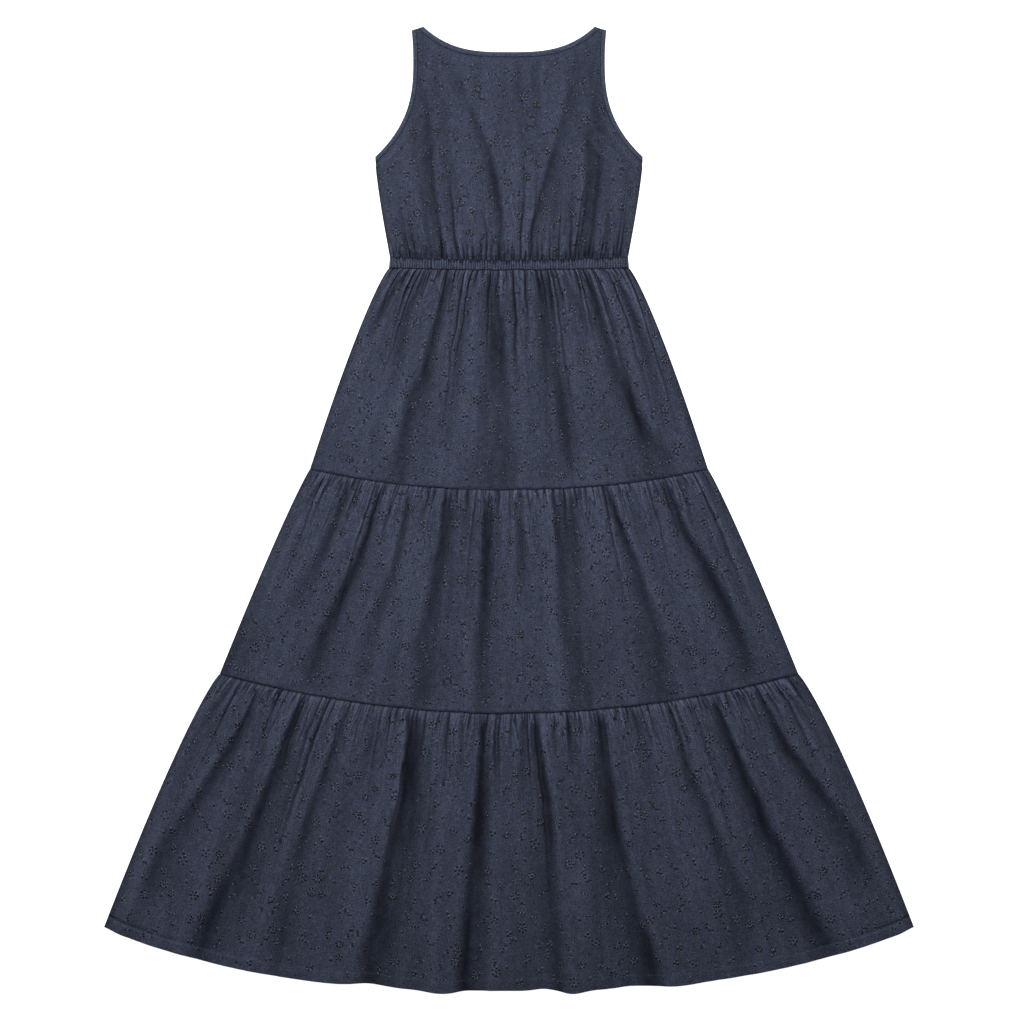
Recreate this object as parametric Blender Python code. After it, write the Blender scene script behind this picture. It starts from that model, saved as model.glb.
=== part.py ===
"""A sleeveless midi dress in eyelet cotton with an elastic waist and three gathered tiers, laid out flat.

Units are metres. The dress lies on the plane z = 0, neck towards +Y, its back on the plane and its front on its back.
A place on it is given by its depth, measured down the centre line from the shoulder tips, and by its share of the
half width there, from -1 at the left side seam to 1 at the right one.
"""

from collections import namedtuple

import bpy
import numpy as np

# Cloth and seams.
CLOTH = 0.0012  # thickness of one layer of cloth
SEAM_GAP = 0.0003  # clearance between two pieces that are sewn together
BACK_CREASE = 0.0014  # how far a crease lifts the back off the plane
BINDING = 0.0018  # thickness of a folded binding
CASING = 0.0026  # thickness of the waist casing with its elastic

# The front's underside lies on the back: at the side seams, at the bindings and inside.
SIDE_LEVEL = CLOTH + SEAM_GAP
BINDING_LEVEL = BINDING + SEAM_GAP
INNER_LEVEL = CLOTH + BACK_CREASE + SEAM_GAP
CASING_LEVEL = CASING + SEAM_GAP

# Bodice outline.
LENGTH = 1.300  # shoulder tip to the lowest point of the hem
NECK_HALF_WIDTH = 0.115
NECK_DEPTH = 0.034
NECK_POWER = 3.1
SHOULDER_HALF_WIDTH = 0.131
SHOULDER_DROP = 0.005
ARMHOLE_NARROW = 0.129  # half width at the narrowest place between the armholes
ARMHOLE_NARROW_DEPTH = 0.045
UNDERARM_HALF_WIDTH = 0.180
UNDERARM_DEPTH = 0.175
ARMHOLE_POWER = 2.7
SIDE_POWER = 1.3
NECK_BINDING_WIDTH = 0.007
ARMHOLE_BINDING_WIDTH = 0.006

# Cross seams: depth on the centre line, rise towards the side seam, power of that rise and half width there.
Seam = namedtuple("Seam", "depth rise power half_width")
CASING_TOP = Seam(0.3125, 0.0045, 2.0, 0.1600)
CASING_FOOT = Seam(0.3275, 0.0027, 2.0, 0.1615)
UPPER_SEAM = Seam(0.6230, 0.0280, 2.3, 0.2677)
LOWER_SEAM = Seam(0.9240, 0.0530, 2.0, 0.3894)
HEM = Seam(LENGTH - 0.0040, 0.0845, 2.6, 0.5450)

# Where the hem hangs lower (or higher) than its smooth line, because a fold runs out there.
Lobe = namedtuple("Lobe", "place half_length drop")
HEM_LOBES = (
    Lobe(-0.188, 0.030, -0.0040),
    Lobe(-0.091, 0.026, 0.0046),
    Lobe(0.046, 0.017, -0.0026),
    Lobe(0.086, 0.020, 0.0047),
    Lobe(0.163, 0.023, -0.0026),
    Lobe(0.231, 0.028, 0.0022),
)
LOBE_SHARE = 0.20  # share of the bottom tier, from the hem up, over which a lobe fades out

# The largest folds of each front piece are troughs between broad, softly raised stretches of cloth.
# top and foot are shares of the half width, bow bends the fold's line between them, end is the share of the piece's
# height at which it has died out, the two half widths are in metres, strength is a share of the raised height, and
# steep is 1 where the right wall is the steep one and -1 where the left one is.
Fold = namedtuple("Fold", "top foot bow start end top_half foot_half strength steep")
BODICE_FOLDS = (
    Fold(-0.70, -0.05, 0.62, 0.00, 1.00, 0.005, 0.005, 0.95, -1),
    Fold(0.86, 0.18, 0.85, 0.00, 1.00, 0.006, 0.006, 0.90, 1),
    Fold(-0.92, -0.62, 1.20, 0.22, 1.00, 0.006, 0.008, 0.95, 1),
    Fold(0.93, 0.66, 1.60, 0.22, 1.00, 0.006, 0.008, 0.95, -1),
    Fold(-0.72, -0.32, 1.00, 0.10, 0.90, 0.004, 0.004, 0.35, 1),
    Fold(0.70, 0.37, 1.00, 0.35, 1.00, 0.004, 0.004, 0.45, -1),
    Fold(-0.80, -0.80, 1.00, 0.62, 1.00, 0.004, 0.005, 0.60, 1),
    Fold(0.86, 0.82, 1.00, 0.62, 1.00, 0.004, 0.005, 0.60, -1),
    Fold(-0.43, -0.43, 1.00, 0.70, 1.00, 0.003, 0.004, 0.60, 1),
    Fold(0.05, 0.06, 1.00, 0.62, 1.00, 0.003, 0.004, 0.40, 1),
)
TOP_TIER_FOLDS = (
    Fold(-0.840, -0.950, 1.0, 0.0, 0.28, 0.004, 0.006, 0.60, -1),
    Fold(-0.680, -0.730, 1.0, 0.0, 0.45, 0.004, 0.006, 0.60, -1),
    Fold(-0.525, -0.550, 1.0, 0.0, 1.10, 0.008, 0.020, 1.00, -1),
    Fold(-0.400, -0.310, 1.0, 0.0, 0.65, 0.004, 0.006, 0.40, -1),
    Fold(-0.110, -0.060, 1.0, 0.0, 1.10, 0.008, 0.018, 1.00, 1),
    Fold(0.257, 0.270, 1.0, 0.0, 0.95, 0.009, 0.019, 0.90, 1),
    Fold(0.468, 0.500, 1.0, 0.0, 0.32, 0.004, 0.006, 0.50, 1),
    Fold(0.630, 0.760, 1.6, 0.0, 1.10, 0.007, 0.020, 1.00, 1),
    Fold(0.836, 0.920, 1.0, 0.0, 0.50, 0.005, 0.008, 0.60, 1),
)
MIDDLE_TIER_FOLDS = (
    Fold(-0.917, -0.930, 1.0, 0.0, 0.22, 0.004, 0.005, 0.60, -1),
    Fold(-0.800, -0.810, 1.0, 0.0, 0.70, 0.005, 0.009, 0.70, -1),
    Fold(-0.640, -0.700, 1.3, 0.0, 1.00, 0.008, 0.016, 1.00, -1),
    Fold(-0.495, -0.520, 1.0, 0.0, 0.95, 0.006, 0.012, 0.60, -1),
    Fold(-0.300, -0.285, 1.0, 0.0, 1.10, 0.009, 0.023, 0.90, -1),
    Fold(-0.210, -0.205, 1.0, 0.0, 0.20, 0.004, 0.004, 0.50, 1),
    Fold(-0.090, -0.090, 1.0, 0.0, 1.10, 0.008, 0.014, 1.00, -1),
    Fold(0.014, 0.060, 1.0, 0.0, 0.60, 0.004, 0.008, 0.50, 1),
    Fold(0.255, 0.230, 1.0, 0.0, 1.00, 0.015, 0.017, 0.70, 1),
    Fold(0.460, 0.510, 1.0, 0.0, 1.10, 0.008, 0.019, 1.00, 1),
    Fold(0.640, 0.650, 1.0, 0.0, 0.18, 0.004, 0.005, 0.50, 1),
    Fold(0.790, 0.865, 1.0, 0.0, 1.00, 0.007, 0.013, 1.00, 1),
    Fold(0.940, 0.940, 1.0, 0.0, 0.15, 0.004, 0.004, 0.50, 1),
)
BOTTOM_TIER_FOLDS = (
    Fold(-0.930, -0.945, 1.0, 0.0, 0.22, 0.004, 0.005, 0.60, -1),
    Fold(-0.853, -0.940, 1.8, 0.0, 0.90, 0.007, 0.016, 0.90, -1),
    Fold(-0.680, -0.775, 1.5, 0.0, 1.02, 0.008, 0.016, 1.00, -1),
    Fold(-0.535, -0.580, 1.0, 0.0, 1.00, 0.007, 0.016, 0.70, -1),
    Fold(-0.295, -0.305, 1.0, 0.0, 1.30, 0.014, 0.035, 1.00, -1),
    Fold(-0.075, -0.090, 1.0, 0.0, 1.30, 0.008, 0.019, 1.00, -1),
    Fold(0.064, 0.090, 1.0, 0.0, 1.30, 0.011, 0.021, 0.95, 1),
    Fold(0.275, 0.300, 1.0, 0.0, 1.30, 0.011, 0.030, 1.00, 1),
    Fold(0.525, 0.585, 1.2, 0.0, 1.02, 0.007, 0.016, 0.75, 1),
    Fold(0.660, 0.780, 1.8, 0.0, 1.02, 0.010, 0.016, 1.00, 1),
    Fold(0.820, 0.930, 1.5, 0.0, 0.75, 0.006, 0.014, 0.80, 1),
    Fold(0.923, 0.940, 1.0, 0.0, 0.22, 0.004, 0.005, 0.60, 1),
)

# Raised height of a front piece at given shares of its height, from its top seam down.
HEIGHT_SHARES = (0.0, 0.03, 0.10, 0.35, 0.70, 0.93, 1.0)
BODICE_HEIGHTS = (0.0, 0.0010, 0.0022, 0.0042, 0.0060, 0.0065, 0.0010)
TOP_TIER_HEIGHTS = (0.0002, 0.0040, 0.0075, 0.0080, 0.0060, 0.0025, 0.0006)
MIDDLE_TIER_HEIGHTS = (0.0002, 0.0040, 0.0080, 0.0085, 0.0065, 0.0025, 0.0006)
BOTTOM_TIER_HEIGHTS = (0.0002, 0.0040, 0.0085, 0.0105, 0.0105, 0.0085, 0.0078)

# Gathers: how many there are across a piece, their height near the seam and how far from it they reach.
Gathers = namedtuple("Gathers", "count height reach seed")
BODICE_GATHERS = Gathers(18, 0.0046, 0.028, 11)
TOP_TIER_GATHERS = Gathers(26, 0.0050, 0.040, 12)
MIDDLE_TIER_GATHERS = Gathers(30, 0.0054, 0.042, 13)
BOTTOM_TIER_GATHERS = Gathers(38, 0.0056, 0.048, 14)
BODICE_BACK_CREASES = Gathers(9, BACK_CREASE, 0.060, 21)
TOP_BACK_CREASES = Gathers(11, BACK_CREASE, 0.120, 22)
MIDDLE_BACK_CREASES = Gathers(13, BACK_CREASE, 0.120, 23)
BOTTOM_BACK_CREASES = Gathers(15, BACK_CREASE, 0.150, 24)
CASING_RIBS = 38
RIB_HEIGHT = 0.0005
SEAM_RIPPLE = 0.30  # share of a gather's height that is left in the seam itself
GATHER_ONSET = 0.006  # distance from the seam in which a gather reaches its full height

# Folds round off towards the side seams over this distance.
FRONT_EDGE = 0.022
BACK_EDGE = 0.045
STEEP_WALL = (0.0040, 0.0090)  # softness of a trough's steep wall at its top and foot
GENTLE_WALL = (0.0060, 0.0150)  # softness of its gentle wall
FOLD_FADE = 0.18  # share of a piece's height over which a fold begins and dies out

COTTON_COLOUR = (0.047, 0.055, 0.082, 1.0)
BINDING_COLOUR = (0.050, 0.059, 0.087, 1.0)


def smooth(value):
    """0 below 0, 1 above 1, and a smooth step between."""
    value = np.clip(value, 0.0, 1.0)
    return value * value * (3.0 - 2.0 * value)


# Outline -------------------------------------------------------------------------------------------------------


def seam_depth(seam, across):
    """Depth of a cross seam, which rises towards both side seams like a smile."""
    return seam.depth - seam.rise * np.abs(across) ** seam.power


def armhole_half_width(depth):
    below = np.clip((depth - ARMHOLE_NARROW_DEPTH) / (UNDERARM_DEPTH - ARMHOLE_NARROW_DEPTH), 0, 1)
    above = np.clip((ARMHOLE_NARROW_DEPTH - depth) / (ARMHOLE_NARROW_DEPTH - SHOULDER_DROP), 0, 1)
    spread = (UNDERARM_HALF_WIDTH - ARMHOLE_NARROW) * below**ARMHOLE_POWER
    return ARMHOLE_NARROW + spread + (SHOULDER_HALF_WIDTH - ARMHOLE_NARROW) * above**2


def side_half_width(depth):
    waist_depth = CASING_TOP.depth - CASING_TOP.rise
    share = np.clip((depth - UNDERARM_DEPTH) / (waist_depth - UNDERARM_DEPTH), 0, 1)
    taper = UNDERARM_HALF_WIDTH - CASING_TOP.half_width
    return UNDERARM_HALF_WIDTH - taper * share**SIDE_POWER


def neck_edge(count):
    """Points (x, depth) of the neckline, from the left shoulder tip to the right one, closer together at its ends."""
    turn = np.linspace(-np.pi / 2, np.pi / 2, count)
    across = np.sin(turn) * NECK_HALF_WIDTH
    depth = NECK_DEPTH * (1 - (np.abs(across) / NECK_HALF_WIDTH) ** NECK_POWER)
    return np.column_stack([across, depth])


def armhole_edge(count):
    """Points (x, depth) of the right armhole, from the shoulder down to the underarm."""
    drop = UNDERARM_DEPTH - SHOULDER_DROP
    depth = SHOULDER_DROP + drop * np.linspace(0, 1, count) ** 0.8
    return np.column_stack([armhole_half_width(depth), depth])


def shift(edge, width, first_seam, last_seam):
    """An edge moved to its right by width (as it runs, seen with depth downwards), its ends along their seams."""
    along = np.gradient(edge, axis=0)
    along /= np.linalg.norm(along, axis=1)[:, None]
    aside = np.column_stack([-along[:, 1], along[:, 0]])
    for end, seam in ((0, first_seam), (-1, last_seam)):
        aside[end] = np.array(seam) / (np.array(seam) @ aside[end])
    return edge + width * aside


SHOULDER_SEAM = (SHOULDER_HALF_WIDTH - NECK_HALF_WIDTH, SHOULDER_DROP)
MIRRORED_SHOULDER_SEAM = (-SHOULDER_SEAM[0], SHOULDER_SEAM[1])
UNDERARM_SEAM = (
    side_half_width(UNDERARM_DEPTH + ARMHOLE_BINDING_WIDTH) - UNDERARM_HALF_WIDTH,
    ARMHOLE_BINDING_WIDTH,
)


def shift_neck(edge, width):
    return shift(edge, width, MIRRORED_SHOULDER_SEAM, SHOULDER_SEAM)


def shift_armhole(edge, width):
    return shift(edge, width, SHOULDER_SEAM, UNDERARM_SEAM)


# Folds and gathers ---------------------------------------------------------------------------------------------


def trough(folds, across, down, half_width):
    """How deep the folds cut at each place, from 0 on the raised cloth to 1 on the floor of a trough."""
    raised = np.ones_like(across)
    for fold in folds:
        share = np.clip((down - fold.start) / (min(fold.end, 1) - fold.start), 0, 1)
        line = fold.top + (fold.foot - fold.top) * share**fold.bow
        half = fold.top_half + (fold.foot_half - fold.top_half) * share
        steep = STEEP_WALL[0] + (STEEP_WALL[1] - STEEP_WALL[0]) * share
        gentle = GENTLE_WALL[0] + (GENTLE_WALL[1] - GENTLE_WALL[0]) * share
        beside = (across - line) * half_width * fold.steep
        inside = 0.25 * (1 + np.tanh((half - beside) / steep))
        inside = inside * (1 + np.tanh((half + beside) / gentle))
        begins = smooth((down - fold.start) / FOLD_FADE + (fold.start == 0))
        lasts = smooth((fold.end - down) / FOLD_FADE)
        raised = raised * (1 - fold.strength * begins * lasts * inside)
    return 1 - raised


def gather_lines(gathers):
    """Shares of the half width at which the valleys between gathers lie, unevenly spaced."""
    rng = np.random.default_rng(gathers.seed)
    even = np.linspace(-1, 1, gathers.count + 1)
    shift = rng.uniform(-0.28, 0.28, gathers.count + 1) * (even[1] - even[0])
    shift[[0, -1]] = 0
    return even + shift


def gather_phase(gathers, across):
    """Which gather a place is in, and how far across it the place is, from 0 to 1."""
    place = np.interp(across, gather_lines(gathers), np.arange(gathers.count + 1.0))
    number = np.minimum(place.astype(int), gathers.count - 1)
    return number, place - number


def gather_heights(gathers, across, distance):
    """Height of the gathers at a distance from the seam that gathers them. Each has its own height and reach."""
    rng = np.random.default_rng(gathers.seed + 100)
    height = gathers.height * rng.uniform(0.60, 1.0, gathers.count)
    reach = gathers.reach * rng.uniform(0.55, 1.6, gathers.count)
    number, phase = gather_phase(gathers, across)
    onset = SEAM_RIPPLE + (1 - SEAM_RIPPLE) * smooth(distance / GATHER_ONSET)
    fade = np.exp(-((distance / reach[number]) ** 1.5))
    return height[number] * onset * fade * np.sin(np.pi * phase) ** 0.8


def crease_heights(creases, across, distance):
    """How far narrow creases lift the back off the plane, between the stretches that rest on it."""
    rng = np.random.default_rng(creases.seed + 100)
    reach = creases.reach * rng.uniform(0.6, 1.6, creases.count + 1)
    place = np.interp(across, gather_lines(creases), np.arange(creases.count + 1.0))
    nearest = np.rint(place).astype(int)
    sharp = np.clip(1 - 3.2 * np.abs(place - nearest), 0, 1)
    return creases.height * sharp * np.exp(-((distance / reach[nearest]) ** 2))


def gather_columns(gathers, per_gather):
    """Shares of the half width for the columns of a grid, with one on each valley."""
    lines = gather_lines(gathers)
    steps = np.arange(per_gather) / per_gather
    between = lines[:-1, None] + (lines[1:] - lines[:-1])[:, None] * steps
    return np.append(between.ravel(), 1.0)


# Solids --------------------------------------------------------------------------------------------------------


def material(name, colour, roughness):
    made = bpy.data.materials.new(name)
    made.use_nodes = True
    shader = made.node_tree.nodes["Principled BSDF"]
    shader.inputs["Base Color"].default_value = colour
    shader.inputs["Roughness"].default_value = roughness
    shader.inputs["Metallic"].default_value = 0.0
    return made


def thickness_over(x, under, cloth):
    """Thickness measured upwards that gives a sloping wall the cloth's own thickness."""
    slope = np.abs(np.diff(under, axis=1) / np.maximum(np.diff(x, axis=1), 1e-5))
    slope = np.pad(slope, ((0, 0), (1, 1)))
    steepest = np.minimum(np.maximum(slope[:, :-1], slope[:, 1:]), 1.6)
    return cloth * np.sqrt(1 + steepest**2)


def wall(name, x, depth, under, over, finish):
    """A closed wall between two surfaces on one grid, whose rows run down the dress and columns across it."""
    rows, columns = x.shape
    y = LENGTH / 2 - depth
    low = np.stack([x, y, under], axis=-1).reshape(-1, 3)
    high = np.stack([x, y, over], axis=-1).reshape(-1, 3)
    index = np.arange(rows * columns).reshape(rows, columns)
    a, b, c, d = index[:-1, :-1], index[1:, :-1], index[1:, 1:], index[:-1, 1:]
    quads = np.stack([a, b, c, d], axis=-1).reshape(-1, 4)
    rim = [index[:-1, 0], index[-1, :-1], index[:0:-1, -1], index[0, :0:-1]]
    rim = np.concatenate(rim)
    following = np.roll(rim, -1)
    above = rows * columns
    sides = np.column_stack([rim, following, following + above, rim + above])
    faces = np.concatenate([quads + above, quads[:, ::-1], sides])
    corners = np.column_stack([x.ravel()[rim], y.ravel()[rim]])
    turned = np.roll(corners, -1, axis=0)
    if (corners[:, 0] * turned[:, 1] - corners[:, 1] * turned[:, 0]).sum() < 0:
        faces = faces[:, ::-1]
    mesh = bpy.data.meshes.new(name)
    mesh.from_pydata(np.concatenate([low, high]).tolist(), [], faces.tolist())
    mesh.shade_smooth()
    mesh.set_sharp_from_angle(angle=np.radians(50))
    mesh.materials.append(finish)
    piece = bpy.data.objects.new(name, mesh)
    bpy.context.scene.collection.objects.link(piece)
    return piece


# Tiers ---------------------------------------------------------------------------------------------------------

Tier = namedtuple("Tier", "name top foot flare folds heights gathers creases rows back_rows")
TIERS = (
    Tier(
        "top_tier", CASING_FOOT, UPPER_SEAM, 0.82, TOP_TIER_FOLDS, TOP_TIER_HEIGHTS,
        TOP_TIER_GATHERS, TOP_BACK_CREASES,
        (0, 0.025, 0.09, 0.22, 0.48, 0.78, 1), (0, 0.30, 0.62, 1),
    ),
    Tier(
        "middle_tier", UPPER_SEAM, LOWER_SEAM, 0.91, MIDDLE_TIER_FOLDS, MIDDLE_TIER_HEIGHTS,
        MIDDLE_TIER_GATHERS, MIDDLE_BACK_CREASES,
        (0, 0.025, 0.09, 0.22, 0.48, 0.78, 1), (0, 0.30, 0.62, 1),
    ),
    Tier(
        "bottom_tier", LOWER_SEAM, HEM, 0.84, BOTTOM_TIER_FOLDS, BOTTOM_TIER_HEIGHTS,
        BOTTOM_TIER_GATHERS, BOTTOM_BACK_CREASES,
        (0, 0.02, 0.07, 0.17, 0.36, 0.60, 0.84, 1), (0, 0.28, 0.62, 0.85, 1),
    ),
)
GATHER_COLUMNS = 3  # columns of a front tier's grid for each gather


def hem_drop(x):
    drop = np.zeros_like(x)
    for lobe in HEM_LOBES:
        drop += lobe.drop * np.exp(-(((x - lobe.place) / lobe.half_length) ** 2))
    return drop


def tier_grid(tier, across, down):
    """(x, depth, half width, distance from the top seam) at shares across and down a tier."""
    half_width = tier.top.half_width
    half_width = half_width + (tier.foot.half_width - half_width) * down**tier.flare
    top = seam_depth(tier.top, across) + SEAM_GAP / 2
    foot = seam_depth(tier.foot, across)
    if tier.foot is HEM:
        hanging = smooth((down - 1 + LOBE_SHARE) / LOBE_SHARE)
        foot = foot + hem_drop(across * HEM.half_width) * hanging
    else:
        foot = foot - SEAM_GAP / 2
    depth = top + (foot - top) * down
    return across * half_width, depth, half_width, depth - top


def build_tier_front(tier, finish):
    across, down = np.meshgrid(gather_columns(tier.gathers, GATHER_COLUMNS), tier.rows)
    x, depth, half_width, distance = tier_grid(tier, across, down)
    raised = np.interp(down, HEIGHT_SHARES, tier.heights)
    raised = raised * (1 - trough(tier.folds, across, down, half_width))
    raised = raised + gather_heights(tier.gathers, across, distance)
    inside = smooth((1 - np.abs(across)) * half_width / FRONT_EDGE)
    under = SIDE_LEVEL + inside * (INNER_LEVEL - SIDE_LEVEL + raised)
    over = under + thickness_over(x, under, CLOTH)
    return wall(tier.name + "_front", x, depth, under, over, finish)


def build_tier_back(tier, finish):
    across, down = np.meshgrid(gather_columns(tier.creases, 3), tier.back_rows)
    x, depth, half_width, distance = tier_grid(tier, across, down)
    inside = smooth((1 - np.abs(across)) * half_width / BACK_EDGE - 0.4)
    under = inside * crease_heights(tier.creases, across, distance)
    return wall(tier.name + "_back", x, depth, under, under + CLOTH, finish)


# Bodice --------------------------------------------------------------------------------------------------------

# Rows of the bodice's grid, as shares of the way down the armhole, and of the way from there to the waist.
ARMHOLE_ROWS = (0, 0.16, 0.34, 0.52, 0.67, 0.80, 0.90, 0.96)
SIDE_ROWS = (0, 0.25, 0.50, 0.72, 0.88, 0.96, 1)
BACK_SIDE_ROWS = (0, 0.35, 0.70, 1)
OUTLINE_POINTS = 40  # points worked out along a neckline or armhole


def bodice_outline():
    """(side, top): points (x, depth) down the armhole and side seam, and along the shoulders and neckline."""
    armhole = armhole_edge(OUTLINE_POINTS)
    armhole = shift_armhole(armhole, ARMHOLE_BINDING_WIDTH + SEAM_GAP)
    seam_depths = np.linspace(armhole[-1, 1], CASING_TOP.depth, OUTLINE_POINTS)[1:]
    side = np.column_stack([side_half_width(seam_depths), seam_depths])
    neck = shift_neck(neck_edge(2 * OUTLINE_POINTS), NECK_BINDING_WIDTH + SEAM_GAP)
    shoulder = armhole[:1]
    top = np.concatenate([shoulder * (-1, 1), neck, shoulder])
    return np.concatenate([armhole, side]), top


def bodice_columns(across):
    """Adds to the columns those at which the neckline meets the shoulder seams."""
    side, top = bodice_outline()
    corner = top[-2, 0] / np.interp(top[-2, 1], side[:, 1], side[:, 0])
    across = across[np.abs(across) < corner - 0.02]
    return np.concatenate([[-1, -corner], across, [corner, 1]])


def bodice_rows(side_rows):
    """Shares of the height for the rows of a grid, one of which meets the side seam at the underarm."""
    side, _ = bodice_outline()
    underarm, waist = side[OUTLINE_POINTS - 1, 1], CASING_TOP.depth - CASING_TOP.rise
    share = (underarm - side[0, 1]) / (waist - side[0, 1])
    return np.append(share * np.array(ARMHOLE_ROWS), share + (1 - share) * np.array(side_rows))


def bodice_grid(across, down):
    """(x, depth) at shares across and down the bodice, whose columns start on the neckline or the shoulder."""
    side, top = bodice_outline()
    first = across[:1]
    start = np.full_like(first, NECK_DEPTH)
    for _ in range(60):
        x = first * np.interp(start, side[:, 1], side[:, 0])
        start = 0.5 * start + 0.5 * np.interp(x, top[:, 0], top[:, 1])
    finish = seam_depth(CASING_TOP, first) - SEAM_GAP / 2
    depth = start + (finish - start) * down
    return across * np.interp(depth, side[:, 1], side[:, 0]), depth


def build_bodice_front(finish):
    columns = bodice_columns(gather_columns(BODICE_GATHERS, 2))
    across, down = np.meshgrid(columns, bodice_rows(SIDE_ROWS))
    x, depth = bodice_grid(across, down)
    half_width = x[:, -1:]
    from_side, from_waist = half_width - np.abs(x), seam_depth(CASING_TOP, across) - depth
    raised = np.interp(down, HEIGHT_SHARES, BODICE_HEIGHTS)
    raised = raised * (1 - trough(BODICE_FOLDS, across, down, half_width))
    raised = raised + gather_heights(BODICE_GATHERS, across, from_waist)
    bound = 1 - smooth((depth - UNDERARM_DEPTH) / ARMHOLE_BINDING_WIDTH)
    edge_level = SIDE_LEVEL + (BINDING_LEVEL - SIDE_LEVEL) * bound
    inside = smooth(from_side / FRONT_EDGE) * smooth((depth - depth[0]) / FRONT_EDGE)
    under = edge_level + inside * (INNER_LEVEL - edge_level + raised)
    over = under + thickness_over(x, under, CLOTH)
    wall("bodice_front", x, depth, under, over, finish)
    return x, depth


def build_bodice_back(finish):
    columns = bodice_columns(gather_columns(BODICE_BACK_CREASES, 3))
    across, down = np.meshgrid(columns, bodice_rows(BACK_SIDE_ROWS))
    x, depth = bodice_grid(across, down)
    from_side, from_waist = x[:, -1:] - np.abs(x), seam_depth(CASING_TOP, across) - depth
    under = crease_heights(BODICE_BACK_CREASES, across, from_waist)
    under = under * smooth(from_side / BACK_EDGE - 0.4)
    wall("bodice_back", x, depth, under, under + CLOTH, finish)
    return x, depth


# Bindings and waist casing -------------------------------------------------------------------------------------

CROWN_SHARES = np.array([0.0, 0.5, 1.0])  # places across a binding at which its section has a point
BINDING_CROWN = 0.0003  # how much thinner a binding is at its two edges
CASING_SECTION = (0.0, 0.18, 0.82, 1.0)  # the same, down the waist casing
CASING_EDGE = 0.0006


def binding(name, inner, edge, level, finish):
    """A folded strip between its seam line and the free edge, a little higher along its middle."""
    share = CROWN_SHARES[:, None]
    x = inner[:, 0] + (edge[:, 0] - inner[:, 0]) * share
    depth = inner[:, 1] + (edge[:, 1] - inner[:, 1]) * share
    under = np.full_like(x, level)
    over = under + BINDING - BINDING_CROWN * np.abs(2 * share - 1)
    return wall(name, x, depth, under, over, finish)


def build_bindings(layer, panel, level, finish):
    """The neckline's binding and both armholes', each on the points of the panel's own edge, moved out."""
    x, depth = panel
    top = np.column_stack([x[0], depth[0]])[1:-1]
    side = np.column_stack([x[:, -1], depth[:, -1]])[: len(ARMHOLE_ROWS) + 1]
    inner, edge = shift_neck(top, -SEAM_GAP), shift_neck(top, -SEAM_GAP - NECK_BINDING_WIDTH)
    binding(f"neck_binding_{layer}", inner, edge, level, finish)
    inner = shift_armhole(side, -SEAM_GAP)
    edge = shift_armhole(side, -SEAM_GAP - ARMHOLE_BINDING_WIDTH)
    for name, mirror in (("right", (1, 1)), ("left", (-1, 1))):
        name = f"armhole_binding_{name}_{layer}"
        binding(name, inner * mirror, edge * mirror, level, finish)


def build_casing(layer, level, ribs, finish):
    """Half of the elastic casing round the waist, gathered into small upright ribs."""
    steps = 2 * ribs
    across, down = np.meshgrid(np.linspace(-1, 1, steps + 1), CASING_SECTION)
    top = seam_depth(CASING_TOP, across) + SEAM_GAP / 2
    foot = seam_depth(CASING_FOOT, across) - SEAM_GAP / 2
    depth = top + (foot - top) * down
    half_width = CASING_TOP.half_width
    half_width = half_width + (CASING_FOOT.half_width - half_width) * down
    rib = np.arange(steps + 1) % 2 * RIB_HEIGHT
    edge = np.where((down == 0) | (down == 1), CASING_EDGE, 0.0)
    under = np.full_like(depth, level)
    over = under + CASING - edge - (RIB_HEIGHT - rib) * (layer == "front")
    return wall(f"waist_casing_{layer}", across * half_width, depth, under, over, finish)


def main():
    for thing in list(bpy.data.objects):
        bpy.data.objects.remove(thing)
    cotton = material("eyelet cotton", COTTON_COLOUR, 0.85)
    plain = material("plain cotton strip", BINDING_COLOUR, 0.80)
    build_bindings("back", build_bodice_back(cotton), 0.0, plain)
    build_bindings("front", build_bodice_front(cotton), BINDING_LEVEL, plain)
    build_casing("back", 0.0, 4, plain)
    build_casing("front", CASING_LEVEL, CASING_RIBS, plain)
    for tier in TIERS:
        build_tier_back(tier, cotton)
        build_tier_front(tier, cotton)


main()
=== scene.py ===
"""A sleeveless tiered midi dress in navy eyelet cotton, laid out flat and seen from straight above.

Units are metres. The dress lies on the plane z = 0, neck towards +Y, its back on the plane and its front on
its back. A place on it is given by its depth, measured down the centre line from the shoulder tips, and by
its share of the half width there, from -1 at the left side seam to 1 at the right one.
"""

from collections import namedtuple

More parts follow.
